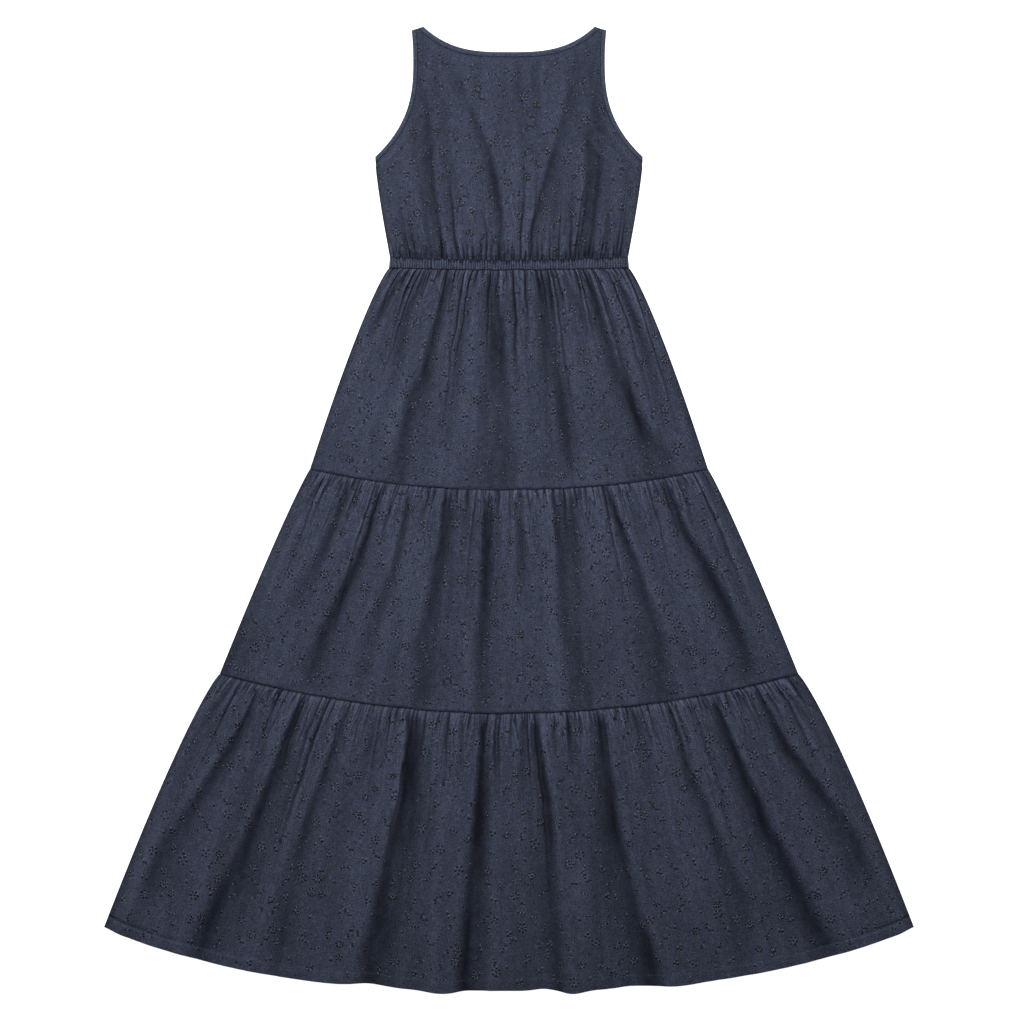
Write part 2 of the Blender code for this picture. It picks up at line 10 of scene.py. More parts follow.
import bpy
import numpy as np
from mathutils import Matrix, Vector


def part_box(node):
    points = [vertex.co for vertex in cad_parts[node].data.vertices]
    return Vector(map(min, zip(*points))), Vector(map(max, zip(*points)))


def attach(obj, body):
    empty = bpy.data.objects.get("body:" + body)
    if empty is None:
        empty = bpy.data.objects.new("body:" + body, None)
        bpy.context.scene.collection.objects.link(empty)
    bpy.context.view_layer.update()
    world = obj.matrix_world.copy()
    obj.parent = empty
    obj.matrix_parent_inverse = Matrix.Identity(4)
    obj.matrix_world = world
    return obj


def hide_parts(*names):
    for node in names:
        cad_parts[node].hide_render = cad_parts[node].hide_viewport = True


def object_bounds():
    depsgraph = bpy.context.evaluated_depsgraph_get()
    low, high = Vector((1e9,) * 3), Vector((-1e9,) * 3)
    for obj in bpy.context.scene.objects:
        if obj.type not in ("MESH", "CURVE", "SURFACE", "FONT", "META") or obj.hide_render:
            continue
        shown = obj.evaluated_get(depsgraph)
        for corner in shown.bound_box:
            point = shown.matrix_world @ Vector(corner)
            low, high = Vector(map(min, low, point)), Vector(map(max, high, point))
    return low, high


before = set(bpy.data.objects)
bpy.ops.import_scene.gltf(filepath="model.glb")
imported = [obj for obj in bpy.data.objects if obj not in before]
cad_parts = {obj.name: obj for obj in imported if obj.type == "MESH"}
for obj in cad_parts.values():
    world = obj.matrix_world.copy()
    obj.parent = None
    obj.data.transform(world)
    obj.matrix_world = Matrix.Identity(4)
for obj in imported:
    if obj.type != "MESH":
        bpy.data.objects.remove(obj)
cad_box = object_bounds()


# Camera ----------------------------------------------------------------------
# A long lens hangs straight above the middle of the dress, as for a catalogue picture of a garment laid
# flat. One pixel of the photograph's 1024 is 1.345 mm on the surface.

PIXEL = 0.001345
FRAME_WIDTH = 1024 * PIXEL
LENS = 0.085
SENSOR = 0.036
VIEW_CENTRE = (3.0 * PIXEL, -2.25 * PIXEL)  # the picture's middle, from the middle of the dress
MEAN_HEIGHT = 0.004  # height of the cloth at which the scale holds


def add(name, data):
    """A new object in the scene, made of a camera, a lamp or a mesh."""
    thing = bpy.data.objects.new(name, data)
    bpy.context.scene.collection.objects.link(thing)
    return thing


camera = add("camera", bpy.data.cameras.new("camera"))
camera.data.lens = LENS * 1000
camera.data.sensor_width = SENSOR * 1000
camera.location = (*VIEW_CENTRE, MEAN_HEIGHT + FRAME_WIDTH * LENS / SENSOR)
bpy.context.scene.camera = camera
bpy.context.scene.view_settings.view_transform = "Standard"


# Studio ----------------------------------------------------------------------
# A white table lit to pure white, a soft lamp above the bodice, which leaves the skirt darker towards its
# hem, a harder lamp beyond the neck end, which picks out the gathers, and weak light all round.


def connect(value, socket):
    """Gives a socket a number or a colour, or links it to another node's output."""
    if isinstance(value, Number):
        value = value.socket
    if isinstance(value, bpy.types.NodeSocket):
        socket.id_data.links.new(value, socket)
    else:
        socket.default_value = value


class Number:
    """A number that varies over a surface. Sums and products with it add Math nodes to its material."""

    def __init__(self, socket):
        self.socket = socket

    def maths(self, operation, *values):
        node = self.socket.id_data.nodes.new("ShaderNodeMath")
        node.operation = operation
        for value, socket in zip(values, node.inputs):
            connect(value, socket)
        return Number(node.outputs[0])

    def __add__(self, other):
        return self.maths("ADD", self, other)

    def __radd__(self, other):
        return self.maths("ADD", other, self)

    def __sub__(self, other):
        return self.maths("SUBTRACT", self, other)

    def __rsub__(self, other):
        return self.maths("SUBTRACT", other, self)

    def __mul__(self, other):
        return self.maths("MULTIPLY", self, other)

    def __rmul__(self, other):
        return self.maths("MULTIPLY", other, self)

    def sine(self):
        return self.maths("SINE", self)

    def at_least(self, least):
        return self.maths("MAXIMUM", self, least)

    def part(self):
        return self.maths("FRACT", self)


class Finish:
    """A material and the nodes of it."""

    def __init__(self, name):
        self.material = bpy.data.materials.new(name)
        self.material.use_nodes = True
        self.tree = self.material.node_tree
        self.shader = self.tree.nodes["Principled BSDF"]

    def node(self, kind, settings, sockets, output=0):
        """Adds a node with its settings and the values or links of its sockets, and returns one output."""
        node = self.tree.nodes.new(kind)
        for name, value in settings.items():
            setattr(node, name, value)
        for name, value in sockets.items():
            connect(value, node.inputs[name])
        return node.outputs[output]

    def number(self, kind, settings, sockets, output=0):
        return Number(self.node(kind, settings, sockets, output))

    def shade(self, **sockets):
        """Sets sockets of the Principled shader. A keyword's underscores stand for spaces."""
        for name, value in sockets.items():
            words = name.split("_")
            connect(value, self.shader.inputs[" ".join(word.capitalize() for word in words)])


TABLE_SIZE = 14.0
TABLE_COLOUR = (0.80, 0.80, 0.80, 1.0)
WHITE = (1.0, 1.0, 1.0, 1.0)
TABLE_GLOW = 1.0  # the table gives off light of its own, so that it is pure white
SURROUND = 0.09  # strength of the light from all round

Lamp = namedtuple("Lamp", "name place width watts")
LAMPS = (
    Lamp("soft lamp", (-0.05, 0.16, 1.25), 0.80, 6.9),
    Lamp("hard lamp", (-0.30, 3.4, 2.7), 1.00, 124.0),
)

table_finish = Finish("white table")
table_finish.shade(Base_Color=TABLE_COLOUR, Roughness=0.9, Emission_Color=WHITE, Emission_Strength=TABLE_GLOW)
half = TABLE_SIZE / 2
corners = [(-half, -half, 0), (half, -half, 0), (half, half, 0), (-half, half, 0)]
table_mesh = bpy.data.meshes.new("table")
table_mesh.from_pydata(corners, [], [(0, 1, 2, 3)])
table_mesh.materials.append(table_finish.material)
table = add("table", table_mesh)

for name, place, width, watts in LAMPS:
    lamp = add(name, bpy.data.lights.new(name, "AREA"))
    lamp.data.shape = "SQUARE"
    lamp.data.size = width
    lamp.data.energy = watts
    lamp.location = place
    lamp.rotation_euler = Vector(place).to_track_quat("Z", "Y").to_euler()

world = bpy.data.worlds.new("surround")
world.use_nodes = True
world.node_tree.nodes["Background"].inputs["Color"].default_value = WHITE
world.node_tree.nodes["Background"].inputs["Strength"].default_value = SURROUND
bpy.context.scene.world = world


# Cloth -----------------------------------------------------------------------
# A soft, slightly slubby cotton of medium weight, dyed navy in the piece. Its threads run down and across
# each panel. Its colour carries painted shade in the creases, where two faces of the cloth look at each
# other, and painted highlight on the crests.

COTTON = (0.0500, 0.0610, 0.0990, 1.0)
CREASE_SHADE_COLOUR = (0.0050, 0.0068, 0.0140, 1.0)
TURN = 2 * np.pi
THREAD_PITCH = 0.0007
SLUB = (0.0016, 0.0100)  # width and length of a thicker stretch of thread
PLEAT = (0.0150, 0.1100)  # about the spacing and the length of the pleats between gathers
PLEAT_LEVELS = 7.0  # pleats in the whole range of the noise that places them
# Each pleat gets painted shade along its lower edge, the slit, and painted highlight along its upper edge.
SLIT_SHARPNESS = 6.0  # a pleat's dark lower edge takes up one part in this many
SLIT_DARKNESS = 0.95
MOTTLE_SCALE, CRINKLE_SCALE, CLOUD_SCALE = 1500.0, 95.0, 26.0  # patches of fuzz, crinkle and cloud in a metre

# How strongly each lightens or darkens the cloth; for the pleats and crests this is painted shade and painted
# highlight.
MOTTLE_LIGHT, CRINKLE_LIGHT, CLOUD_LIGHT = 6.3, 0.30, 0.30
PLEAT_LIGHT, CREST_LIGHT = 0.85, 1.0


def cotton(name, colour, crease_shade, slubs=0.9):
    """Colour = cloth, mixed towards the painted crease shade colour by the crease attribute and by pleats,
    times slubs across and down, mottling and slow clouds, with painted highlight on crests, where the crease
    attribute is below 0. Pleats are the levels of a noise drawn out along the threads: each has painted shade
    at its lower edge and painted highlight at the upper one, as far as the gather attribute lets it. Bump =
    pleats, crinkles, slubs and weave."""
    finish = Finish(name)

    def noise(place, scale, detail, **more):
        sockets = {"Vector": place, "Scale": scale, "Detail": detail, **more}
        return finish.number("ShaderNodeTexNoise", {}, sockets)

    place = finish.node("ShaderNodeUVMap", {"uv_map": "cut"}, {})
    across, down, drawn = (
        finish.node("ShaderNodeMapping", {}, {"Vector": place, "Scale": (1 / wide, 1 / long, 1.0)})
        for wide, long in (SLUB, SLUB[::-1], PLEAT)
    )
    warp, weft = (noise(way, 1.0, 2.0, Roughness=0.6) for way in (across, down))
    space = finish.node("ShaderNodeTexCoord", {}, {}, "Object")
    mottle = noise(space, MOTTLE_SCALE, 2.0)
    crinkle = noise(space, CRINKLE_SCALE, 4.0, Distortion=0.5)
    cloud = noise(space, CLOUD_SCALE, 3.0)
    crease, gather = (
        finish.number("ShaderNodeAttribute", {"attribute_name": label}, {}, "Fac")
        for label in ("crease", "gather")
    )
    # Painted shade: slits, the lower sides of pleats and the crease attribute darken the cloth. Painted
    # highlight: the upper sides of pleats and the crests lighten it.
    pleat = (PLEAT_LEVELS * noise(drawn, 1.0, 1.0)).part()
    slit = (1.0 - SLIT_SHARPNESS * pleat).at_least(0.0) * gather
    pleat = (pleat - 0.5) * gather
    crest = (0.0 - crease).at_least(0.0)
    light = 1.0 + slubs * (warp + weft - 1.0) + MOTTLE_LIGHT * (mottle - 0.5)
    light = light + CRINKLE_LIGHT * (crinkle - 0.5) + CLOUD_LIGHT * (cloud - 0.5)
    light = light * (1.0 + PLEAT_LIGHT * pleat + CREST_LIGHT * crest)
    painted_shade = crease.at_least(SLIT_DARKNESS * slit)
    shaded_colour = finish.node("ShaderNodeMix", {"data_type": "RGBA"}, {0: painted_shade, 6: colour, 7: crease_shade}, 2)
    grey = finish.node("ShaderNodeCombineColor", {}, {"Red": light, "Green": light, "Blue": light})
    mixed = finish.node(
        "ShaderNodeMix", {"data_type": "RGBA", "blend_type": "MULTIPLY"}, {0: 1.0, 6: shaded_colour, 7: grey}, 2
    )
    u, v = (finish.number("ShaderNodeSeparateXYZ", {}, {"Vector": place}, axis) for axis in (0, 1))
    weave = (u * (TURN / THREAD_PITCH)).sine() + (v * (TURN / THREAD_PITCH)).sine()
    relief = 0.08 * weave + 0.8 * (warp + weft) + 0.8 * mottle + 2.4 * crinkle + 1.6 * pleat - 1.5 * slit
    normal = finish.node("ShaderNodeBump", {}, {"Height": relief, "Strength": 0.7, "Distance": 0.0006})
    finish.shade(Base_Color=mixed, Roughness=0.80 + 0.16 * mottle, Normal=normal)
    finish.shade(Sheen_Weight=0.05, Sheen_Roughness=0.5)
    finish.shader.inputs["Specular IOR Level"].default_value = 0.18
    return finish.material


eyelet_cotton = cotton("eyelet cotton", COTTON, CREASE_SHADE_COLOUR)


# Cut -------------------------------------------------------------------------
# The panels meet at cross seams that rise towards the sides like a smile, and end at the hem. Each front
# panel lies on its back panel, held off it by the creases of the cloth.

CLOTH = 0.0010
SEAM_GAP = 0.0003
SIDE_LEVEL = 0.0015  # underside of the front at the side seams,
INNER_LEVEL = 0.0029  # inside them
BINDING_LEVEL = 0.0021  # and at the bindings
BACK_SEAM_SHIFT = 0.0011  # the back's seams lie a little lower than the front's
SEAM_RIPPLE = 0.0006  # how far gathers push a seam about
LENGTH = cad_box[1][1] - cad_box[0][1]
HEM_LOBE = 0.0040  # how far the lowest fold hangs below the hem's smooth line

Seam = namedtuple("Seam", "depth rise power half_width")


def seam_under(node, rise, power):
    """The cross seam at the foot of a piece, whose depth and half width are read from the piece's box."""
    low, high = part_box(node)
    return Seam(LENGTH / 2 - low.y + SEAM_GAP / 2, rise, power, high.x)


CASING_TOP = Seam(LENGTH / 2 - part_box("bodice_front")[0].y + SEAM_GAP / 2, 0.0045, 2.0, 0.1600)
CASING_FOOT = seam_under("waist_casing_front", 0.0027, 2.0)
UPPER_SEAM = seam_under("top_tier_front", 0.0280, 2.3)
LOWER_SEAM = seam_under("middle_tier_front", 0.0530, 2.0)
HEM = seam_under("bottom_tier_front", 0.0845, 2.6)._replace(depth=LENGTH - HEM_LOBE)


def smooth(value):
    """0 below 0, 1 above 1, and a smooth step between."""
    value = np.clip(value, 0.0, 1.0)
    return value * value * (3.0 - 2.0 * value)


LATTICE = 97  # numbers along each side of the lattice, after which it repeats


def waver(across, down, length, seed):
    """Smooth random numbers from -1 to 1: seeded ones on a lattice a length apart, with eased steps."""
    lattice = np.random.default_rng(seed).uniform(-1, 1, (LATTICE, LATTICE))
    across, down = across / length, down / length
    column, row = np.floor(across).astype(int), np.floor(down).astype(int)
    right, below = smooth(across - column), smooth(down - row)
    corner = [[lattice[(column + i) % LATTICE, (row + j) % LATTICE] for i in (0, 1)] for j in (0, 1)]
    upper = corner[0][0] + (corner[0][1] - corner[0][0]) * right
    lower = corner[1][0] + (corner[1][1] - corner[1][0]) * right
    return upper + (lower - upper) * below


def seam_depth(seam, across):
    """Depth of a cross seam, which wavers by a fraction of a millimetre where gathers push at it."""
    ripple = 0.0 if seam is HEM else SEAM_RIPPLE
    ripple = ripple * (1 - across**2) * waver(across, 0.0, 0.031, 7)
    return seam.depth - seam.rise * np.abs(across) ** seam.power + ripple


TOP_EASE, FOOT_EASE = 9.0, 11.0  # how fast rows spread out again from a panel's top and foot


def row_shares(count, top, foot):
    """Shares of a panel's height for its rows, which lie closer at its two ends by the given factors."""
    place = np.linspace(0, 1, count)[1:] - 0.5 / (count - 1)
    spacing = np.minimum(1.0, np.minimum(top + TOP_EASE * place, foot + FOOT_EASE * (1 - place)))
    return np.append(0.0, np.cumsum(spacing) / spacing.sum())


HIDDEN_STEP = 4  # the face that doesn't show has a row for each four of the face that does


def lowest_near(heights, away):
    """The lowest height within a number of rows of each row."""
    padded = np.pad(heights, ((away, away), (0, 0)), mode="edge")
    return np.min([padded[i : i + len(heights)] for i in range(2 * away + 1)], axis=0)


def build(name, points, faces, finish, uv=None, **attributes):
    """A piece of one material, with a number on each of its points for every keyword."""
    mesh = bpy.data.meshes.new(name)
    mesh.from_pydata(points.tolist(), [], faces)
    mesh.shade_smooth()
    if uv is not None:
        corner = np.empty(len(mesh.loops), dtype=np.int32)
        mesh.loops.foreach_get("vertex_index", corner)
        layer = mesh.uv_layers.new(name="cut")
        layer.data.foreach_set("uv", uv[corner].astype(np.float32).ravel())
    for label, values in attributes.items():
        layer = mesh.attributes.new(label, "FLOAT", "POINT")
        layer.data.foreach_set("value", values.astype(np.float32))
    mesh.materials.append(finish)
    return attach(add(name, mesh), "root")


def shell(name, x, depth, shown, hidden, uv, crease, gather, finish):
    """A closed sheet on a grid whose rows run down the dress and columns across it: its shown face has
    every row, its hidden face has every fourth, and a rim joins the two."""
    rows, columns = x.shape
    y = LENGTH / 2 - depth
    step = HIDDEN_STEP
    front = np.stack([x, y, shown], axis=-1).reshape(-1, 3)
    behind = np.stack([x, y, hidden], axis=-1)[::step].reshape(-1, 3)
    s = np.arange(rows * columns).reshape(rows, columns)
    h = rows * columns + np.arange(len(behind)).reshape(-1, columns)
    quads = [
        np.stack([s[:-1, :-1], s[1:, :-1], s[1:, 1:], s[:-1, 1:]], axis=-1),
        np.stack([h[:-1, 1:], h[1:, 1:], h[1:, :-1], h[:-1, :-1]], axis=-1),
        np.stack([s[0, :-1], s[0, 1:], h[0, 1:], h[0, :-1]], axis=-1),
        np.stack([s[-1, 1:], s[-1, :-1], h[-1, :-1], h[-1, 1:]], axis=-1),
    ]
    quads = np.concatenate([q.reshape(-1, 4) for q in quads])
    down = np.arange(0, rows - 1, step)[:, None] + np.arange(step + 1)
    left = np.column_stack([s[down[:, ::-1], 0], h[:-1, 0], h[1:, 0]])
    right = np.column_stack([s[down, -1], h[1:, -1], h[:-1, -1]])
    sides = np.concatenate([left, right])
    if (shown < hidden).any():
        quads, sides = quads[:, ::-1], sides[:, ::-1]
    points, faces = np.concatenate([front, behind]), quads.tolist() + sides.tolist()
    across, along, crease, gather = (
        np.append(values.ravel(), values[::step].ravel()) for values in (*uv, crease, gather)
    )
    return build(name, points, faces, finish, np.column_stack([across, along]), crease=crease, gather=gather)


# Folds and gathers -----------------------------------------------------------
# Gathers puff out beside the seams that draw the cloth in, with narrow slits between them. The larger folds
# run on from them as troughs with one steep wall, on the side away from the middle of the dress, and one
# gentle wall.

# line is the steep wall's route, given as (place down, place across) pairs, and side is 1 where the trough
# lies to its left. width is the trough's, at its start and end; share is how much of the raised height it
# takes away, end is the place down at which it has died out, and cleft is how sharp the foot of its wall is.
Fold = namedtuple("Fold", "side line width share end cleft")
Gathers = namedtuple("Gathers", "count height reach seed")
FOLD_FADE = 0.22  # share of a panel's height over which a fold dies out,
FOLD_ONSET = 0.08  # and over which one begins that doesn't come from the seam
STEEP = (0.0010, 0.0120)  # softness of the steep wall at a fold's start and end

# The reach of a slit is that of its gathers, times one of these at random.
Reach = namedtuple("Reach", "factor odds")
REACHES = (Reach(0.3, 0.2), Reach(0.5, 0.25), Reach(0.9, 0.25), Reach(1.6, 0.15), Reach(3.0, 0.15))
SLIT_WIDTH = 0.0009
CLEFT_SHARE, SHADE_SHARE = 0.3, 0.4  # shares of the height that are lost in a cleft, and beside a slit

# How much painted shade each puts into the crease attribute; the last two, which stand up, give painted
# highlight instead.
Shading = namedtuple("Shading", "trough cleft slit shade head crest")


def bell(distance, width):
    """1 at a distance of 0, falling evenly to both sides: exp(-(distance / width)^2)."""
    return np.exp(-((distance / width) ** 2))


def line_through(points, down):
    """A smooth line near given points: a cubic at most, and straight down beyond the last ones."""
    at, place = np.array(points).T
    curve = np.polyfit(at, place, min(3, len(points) - 1))
    return np.polyval(curve, np.clip(down, at[0], at[-1]))


def fold_relief(folds, across, down, metres, wall=STEEP):
    """(trough, cleft, crest), all 0 to 1: the share of the raised height that folds take away, how sharply
    they do, and where they stand up beside that. A trough is a tanh wall with a floor that falls off as
    exp(-x^p); the cleft and the crest are bells at the foot and at the head of the wall."""
    raised, cleft, crest = np.ones_like(across), np.zeros_like(across), np.zeros_like(across)
    for fold in folds:
        start = 0.0 if fold.line[0][0] < 0.1 else fold.line[0][0] - FOLD_ONSET
        share = np.clip((down - start) / (fold.end - start), 0, 1)
        steep, width = (a + (b - a) * share for a, b in (wall, fold.width))
        inside = (line_through(fold.line, down) - across) * metres * fold.side
        away = np.maximum(inside, 0) / (1.2 * width)
        floor = 0.5 * (1 + np.tanh(inside / steep)) * np.exp(-(away ** (3.4 - 2.1 * share)))
        lasts = smooth((fold.end - down) / FOLD_FADE) * smooth((down - start) / FOLD_ONSET + (start == 0))
        uneven = 0.88 + 0.12 * waver(across + fold.line[0][1], down, 0.13, 91)
        raised *= 1 - fold.share * lasts * floor * uneven
        narrow = bell(inside - 0.7 * steep, 0.9 * steep + 0.0008)
        cleft = np.maximum(cleft, fold.cleft * lasts * (1 - 0.75 * share) * narrow)
        head = bell(inside + 1.2 * steep + 0.0022, 0.8 * steep + 0.0020)
        crest = np.maximum(crest, fold.share * lasts * (1 - 0.7 * share) * head)
    return 1 - raised, cleft, crest * raised


def gather_slits(gathers, x, distance, half_width):
    """(slit, shade, crest), all 0 to 1: how sharply slits between gathers cut the cloth, how far it falls
    away on one side of them, and how it stands up on the other. A slit is a bell across, which leans a
    little, widens or narrows and dies out with its own reach."""
    rng = np.random.default_rng(gathers.seed)
    places = np.linspace(-1, 1, gathers.count + 1)[1:-1]
    places = places + rng.uniform(-0.42, 0.42, len(places)) * (places[1] - places[0])
    cut, shade, crest = np.zeros_like(x), np.zeros_like(x), np.zeros_like(x)
    for place in places:
        reach = gathers.reach * rng.choice([r.factor for r in REACHES], p=[r.odds for r in REACHES])
        reach *= rng.uniform(0.8, 1.2)
        lean, sharp, strength = rng.uniform(-0.05, 0.05), rng.uniform(0.8, 1.25), rng.uniform(0.7, 1.0)
        aside = (x - place * half_width - lean * distance) * rng.choice([-1, 1])
        width = SLIT_WIDTH * sharp * np.maximum(1 + rng.uniform(-0.5, 1.5) * distance / reach, 0.5)
        fade = strength * np.exp(-((distance / reach) ** 1.6))
        cut = np.maximum(cut, fade * bell(aside, width))
        beside = np.exp(-np.maximum(aside, 0) / (3.6 * width)) * smooth(aside / width + 1)
        shade = np.maximum(shade, fade * beside)
        crest = np.maximum(crest, fade * bell(aside + 2.6 * width, 1.5 * width))
    return cut, shade, crest * (1 - shade)


def cut_down(height, share, slit, cleft, shade):
    """A raised height less what slits take, by the given share, and what clefts and shaded sides take."""
    return height * (1 - share * slit) * (1 - CLEFT_SHARE * cleft) * (1 - SHADE_SHARE * shade)


def crease_shade(shading, trough, cleft, slit, shade, head, crest):
    """Painted shade of the crease attribute: above 0 where the cloth falls away into folds, and below 0, a
    painted highlight, on the crests.
    """
    dark = shading.trough * trough + shading.cleft * cleft + shading.slit * slit + shading.shade * shade
    return dark - shading.head * head - shading.crest * crest * (1 - trough)


def puckers(x, depth, seed):
    """Height of the unevenness of washed cotton: long shallow ripples with shorter ones on them."""
    long = 0.9 * waver(x, depth / 9.0, 0.0085, seed) + waver(x, depth / 5.0, 0.021, seed + 1)
    return 0.00070 * long + 0.00030 * waver(x, depth / 1.6, 0.0055, seed + 2)


def shade_of(pucker):
    """Painted shade on the lower parts of the puckers, and below 0 painted highlight on their tops."""
    return 0.26 * np.clip(0.10 - pucker / 0.0011, -0.7, 1.3)


# Embroidery ------------------------------------------------------------------
# Small round eyelets with a whipped edge, and satin stitches beside them, worked in thread of about the
# cloth's colour. They are scattered as loose flowers, sprigs, rows and single ones.

THREAD = (0.0580, 0.0700, 0.1120, 1.0)
PAINTED_SATIN_SHINE = (0.2300, 0.2580, 0.3450, 1.0)  # painted shine: the same thread, lighter where it lies straight
# Painted shade: the near-black colour of an eyelet's opening, standing in for the shade seen through a hole.
PAINTED_HOLE_SHADE = (0.0008, 0.0010, 0.0016, 1.0)
HOLE_START, HOLE_SHARPNESS = 0.03, 12.0  # where the thread ends and the painted hole shade begins, and how abruptly
SEWING = (0.0900, 0.1050, 0.1550, 1.0)  # the thread that seams and edges are sewn with

thread = Finish("embroidery thread")
object_space = thread.node("ShaderNodeTexCoord", {}, {}, "Object")
twist = thread.number("ShaderNodeTexNoise", {}, {"Vector": object_space, "Scale": 1500.0, "Detail": 1.0})
opening = thread.number("ShaderNodeAttribute", {"attribute_name": "opening"}, {}, "Fac")
# Painted shine on satin stitches, where opening is below 0, and painted shade in the eyelets' openings, where
# it is above 0.
satin_shine = (0.0 - opening).at_least(0.0)
worked = thread.node("ShaderNodeMix", {"data_type": "RGBA"}, {0: satin_shine, 6: THREAD, 7: PAINTED_SATIN_SHINE}, 2)
hole_shade = opening.maths("MINIMUM", 1.0, (HOLE_SHARPNESS * (opening - HOLE_START)).at_least(0.0))
worked = thread.node("ShaderNodeMix", {"data_type": "RGBA"}, {0: hole_shade, 6: worked, 7: PAINTED_HOLE_SHADE}, 2)
thread_normal = thread.node("ShaderNodeBump", {}, {"Height": twist, "Strength": 0.5, "Distance": 0.0002})
thread.shade(Base_Color=worked, Roughness=0.55 + 0.2 * twist, Normal=thread_normal)

seam_thread = Finish("sewing thread")
seam_thread.shade(Base_Color=SEWING, Roughness=0.6)

# A panel's grid, a function that gives the row and column of places on it, and whether it faces down.
Panel = namedtuple("Panel", "name x y z crease locate downwards")
Worked = namedtuple("Worked", "x y turn radius stretch")  # arrays, one value for each eyelet or stitch
# points are (along, aside, up), up in units of RISE. opening: 1 in a hole, 0 on its edge, -1 on a stitch
# opening places the painted hole shade and the painted satin shine.
Shape = namedtuple("Shape", "points faces opening")
RISE = 0.00045
SUNK = -0.4  # the foot of each, a little way into the cloth
WHIPPED_EDGE = 0.93  # radius of an eyelet's raised ring, as a share of the whole


def eyelet_shape(sides=6):
    """A ring on the cloth, a raised ring inside it and a point in the middle, which is the opening. No hole
    goes through the cloth: the middle is painted near black as the shade in one.
    """
    angle = np.arange(sides) * TURN / sides
    ring = np.column_stack([np.cos(angle), np.sin(angle)])
    points = np.concatenate([
        np.column_stack([ring, np.full(sides, SUNK)]),
        np.column_stack([WHIPPED_EDGE * ring, np.ones(sides)]),
        [[0, 0, 0.1]],
    ])
    i = np.arange(sides)
    j = (i + 1) % sides
    faces = np.column_stack([i, j, j + sides, i + sides]).tolist()
    faces += np.column_stack([i + sides, j + sides, np.full(sides, 2 * sides)]).tolist()
    return Shape(points, faces + [i[::-1].tolist()], (points[:, 0] == 0) & (points[:, 1] == 0))


def stitch_shape():
    """A roof over a diamond."""
    points = [(1, 0, SUNK), (0, 1, SUNK), (-1, 0, SUNK), (0, -1, SUNK), (0.45, 0, 1), (-0.45, 0, 1)]
    faces = [(0, 1, 4), (1, 5, 4), (1, 2, 5), (2, 3, 5), (3, 4, 5), (3, 0, 4), (3, 2, 1, 0)]
    return Shape(np.array(points, dtype=float), faces, np.full(6, -1.0))


def on_grid(values, row, column):
    """Values of a grid at fractional rows and columns, linear between its points."""
    rows, columns = values.shape
    r = np.clip(row.astype(int), 0, rows - 2)
    c = np.clip(column.astype(int), 0, columns - 2)
    down, right = row - r, column - c
    upper = values[r, c] * (1 - right) + values[r, c + 1] * right
    lower = values[r + 1, c] * (1 - right) + values[r + 1, c + 1] * right
    return upper * (1 - down) + lower * down


def lay(panel, work, shape, most_creased=0.60):
    """(points, faces, opening) of small solids of one shape on a panel, except in its creases. Each lies in
    the slope that the cloth has there, from differences on the panel's grid."""
    row, column = panel.locate(work.x, work.y)
    flat = (row >= 0) & (on_grid(panel.crease, row, column) < most_creased)
    work = Worked(*(values[flat] for values in work))
    row, column = row[flat], column[flat]
    surface = (panel.x, panel.y, panel.z)
    across = np.column_stack([on_grid(np.gradient(values, axis=1), row, column) for values in surface])
    down = np.column_stack([on_grid(np.gradient(values, axis=0), row, column) for values in surface])
    middle = np.column_stack([on_grid(values, row, column) for values in surface])
    normal = np.cross(down, across)
    normal /= np.linalg.norm(normal, axis=1)[:, None]
    east = np.cross([0.0, 1.0, 0.0], normal)
    east /= np.linalg.norm(east, axis=1)[:, None]
    north = np.cross(normal, east)
    sign = -1 if panel.downwards else 1
    long = shape.points[:, 0] * (work.radius * work.stretch)[:, None]
    wide = shape.points[:, 1] * work.radius[:, None]
    sine, cosine = np.sin(work.turn)[:, None], np.cos(work.turn)[:, None]
    points = middle[:, None] + (long * cosine - wide * sine)[..., None] * east[:, None]
    points = points + (long * sine + wide * cosine)[..., None] * north[:, None]
    points = points + sign * RISE * shape.points[:, 2][None, :, None] * normal[:, None]
    points[..., 2] = np.maximum(points[..., 2], 0.0)  # the back's lie flat on the plane
    first = np.arange(len(points))[:, None] * len(shape.points)
    faces = [(first + np.array(face[::sign])).tolist() for face in shape.faces]
    opening = np.broadcast_to(shape.opening, points.shape[:2])
    return points.reshape(-1, 3), sum(faces, []), opening.ravel()


def sew(name, panel, parts, finish):
    """One mesh of several kinds of small solids, each given as (work, shape)."""
    points, faces, openings = np.empty((0, 3)), [], np.empty(0)
    for work, shape in parts:
        more, their_faces, opening = lay(panel, work, shape)
        faces += [[corner + len(points) for corner in face] for face in their_faces]
        points, openings = np.concatenate([points, more]), np.append(openings, opening)
    return build(name, points, faces, finish, opening=openings)


# A motif is a list of (x, y, turn, radius, stretch, is_eyelet) about its own middle.
MOTIF_PITCH = 0.0248
BACK_SPREAD = 1.30  # how much further apart they are on the backs
ROW_SPACING = 0.87  # distance between rows of motifs, as a share of the pitch
MOTIF_WANDER = 0.34  # how far a motif strays, as a share of the pitch,
STITCH_WANDER = 0.00035  # and each eyelet and stitch in it, in metres


def turned(along, aside, lean):
    """(x, y) of a place along a slanting line and aside from it."""
    return along * np.cos(lean) - aside * np.sin(lean), along * np.sin(lean) + aside * np.cos(lean)


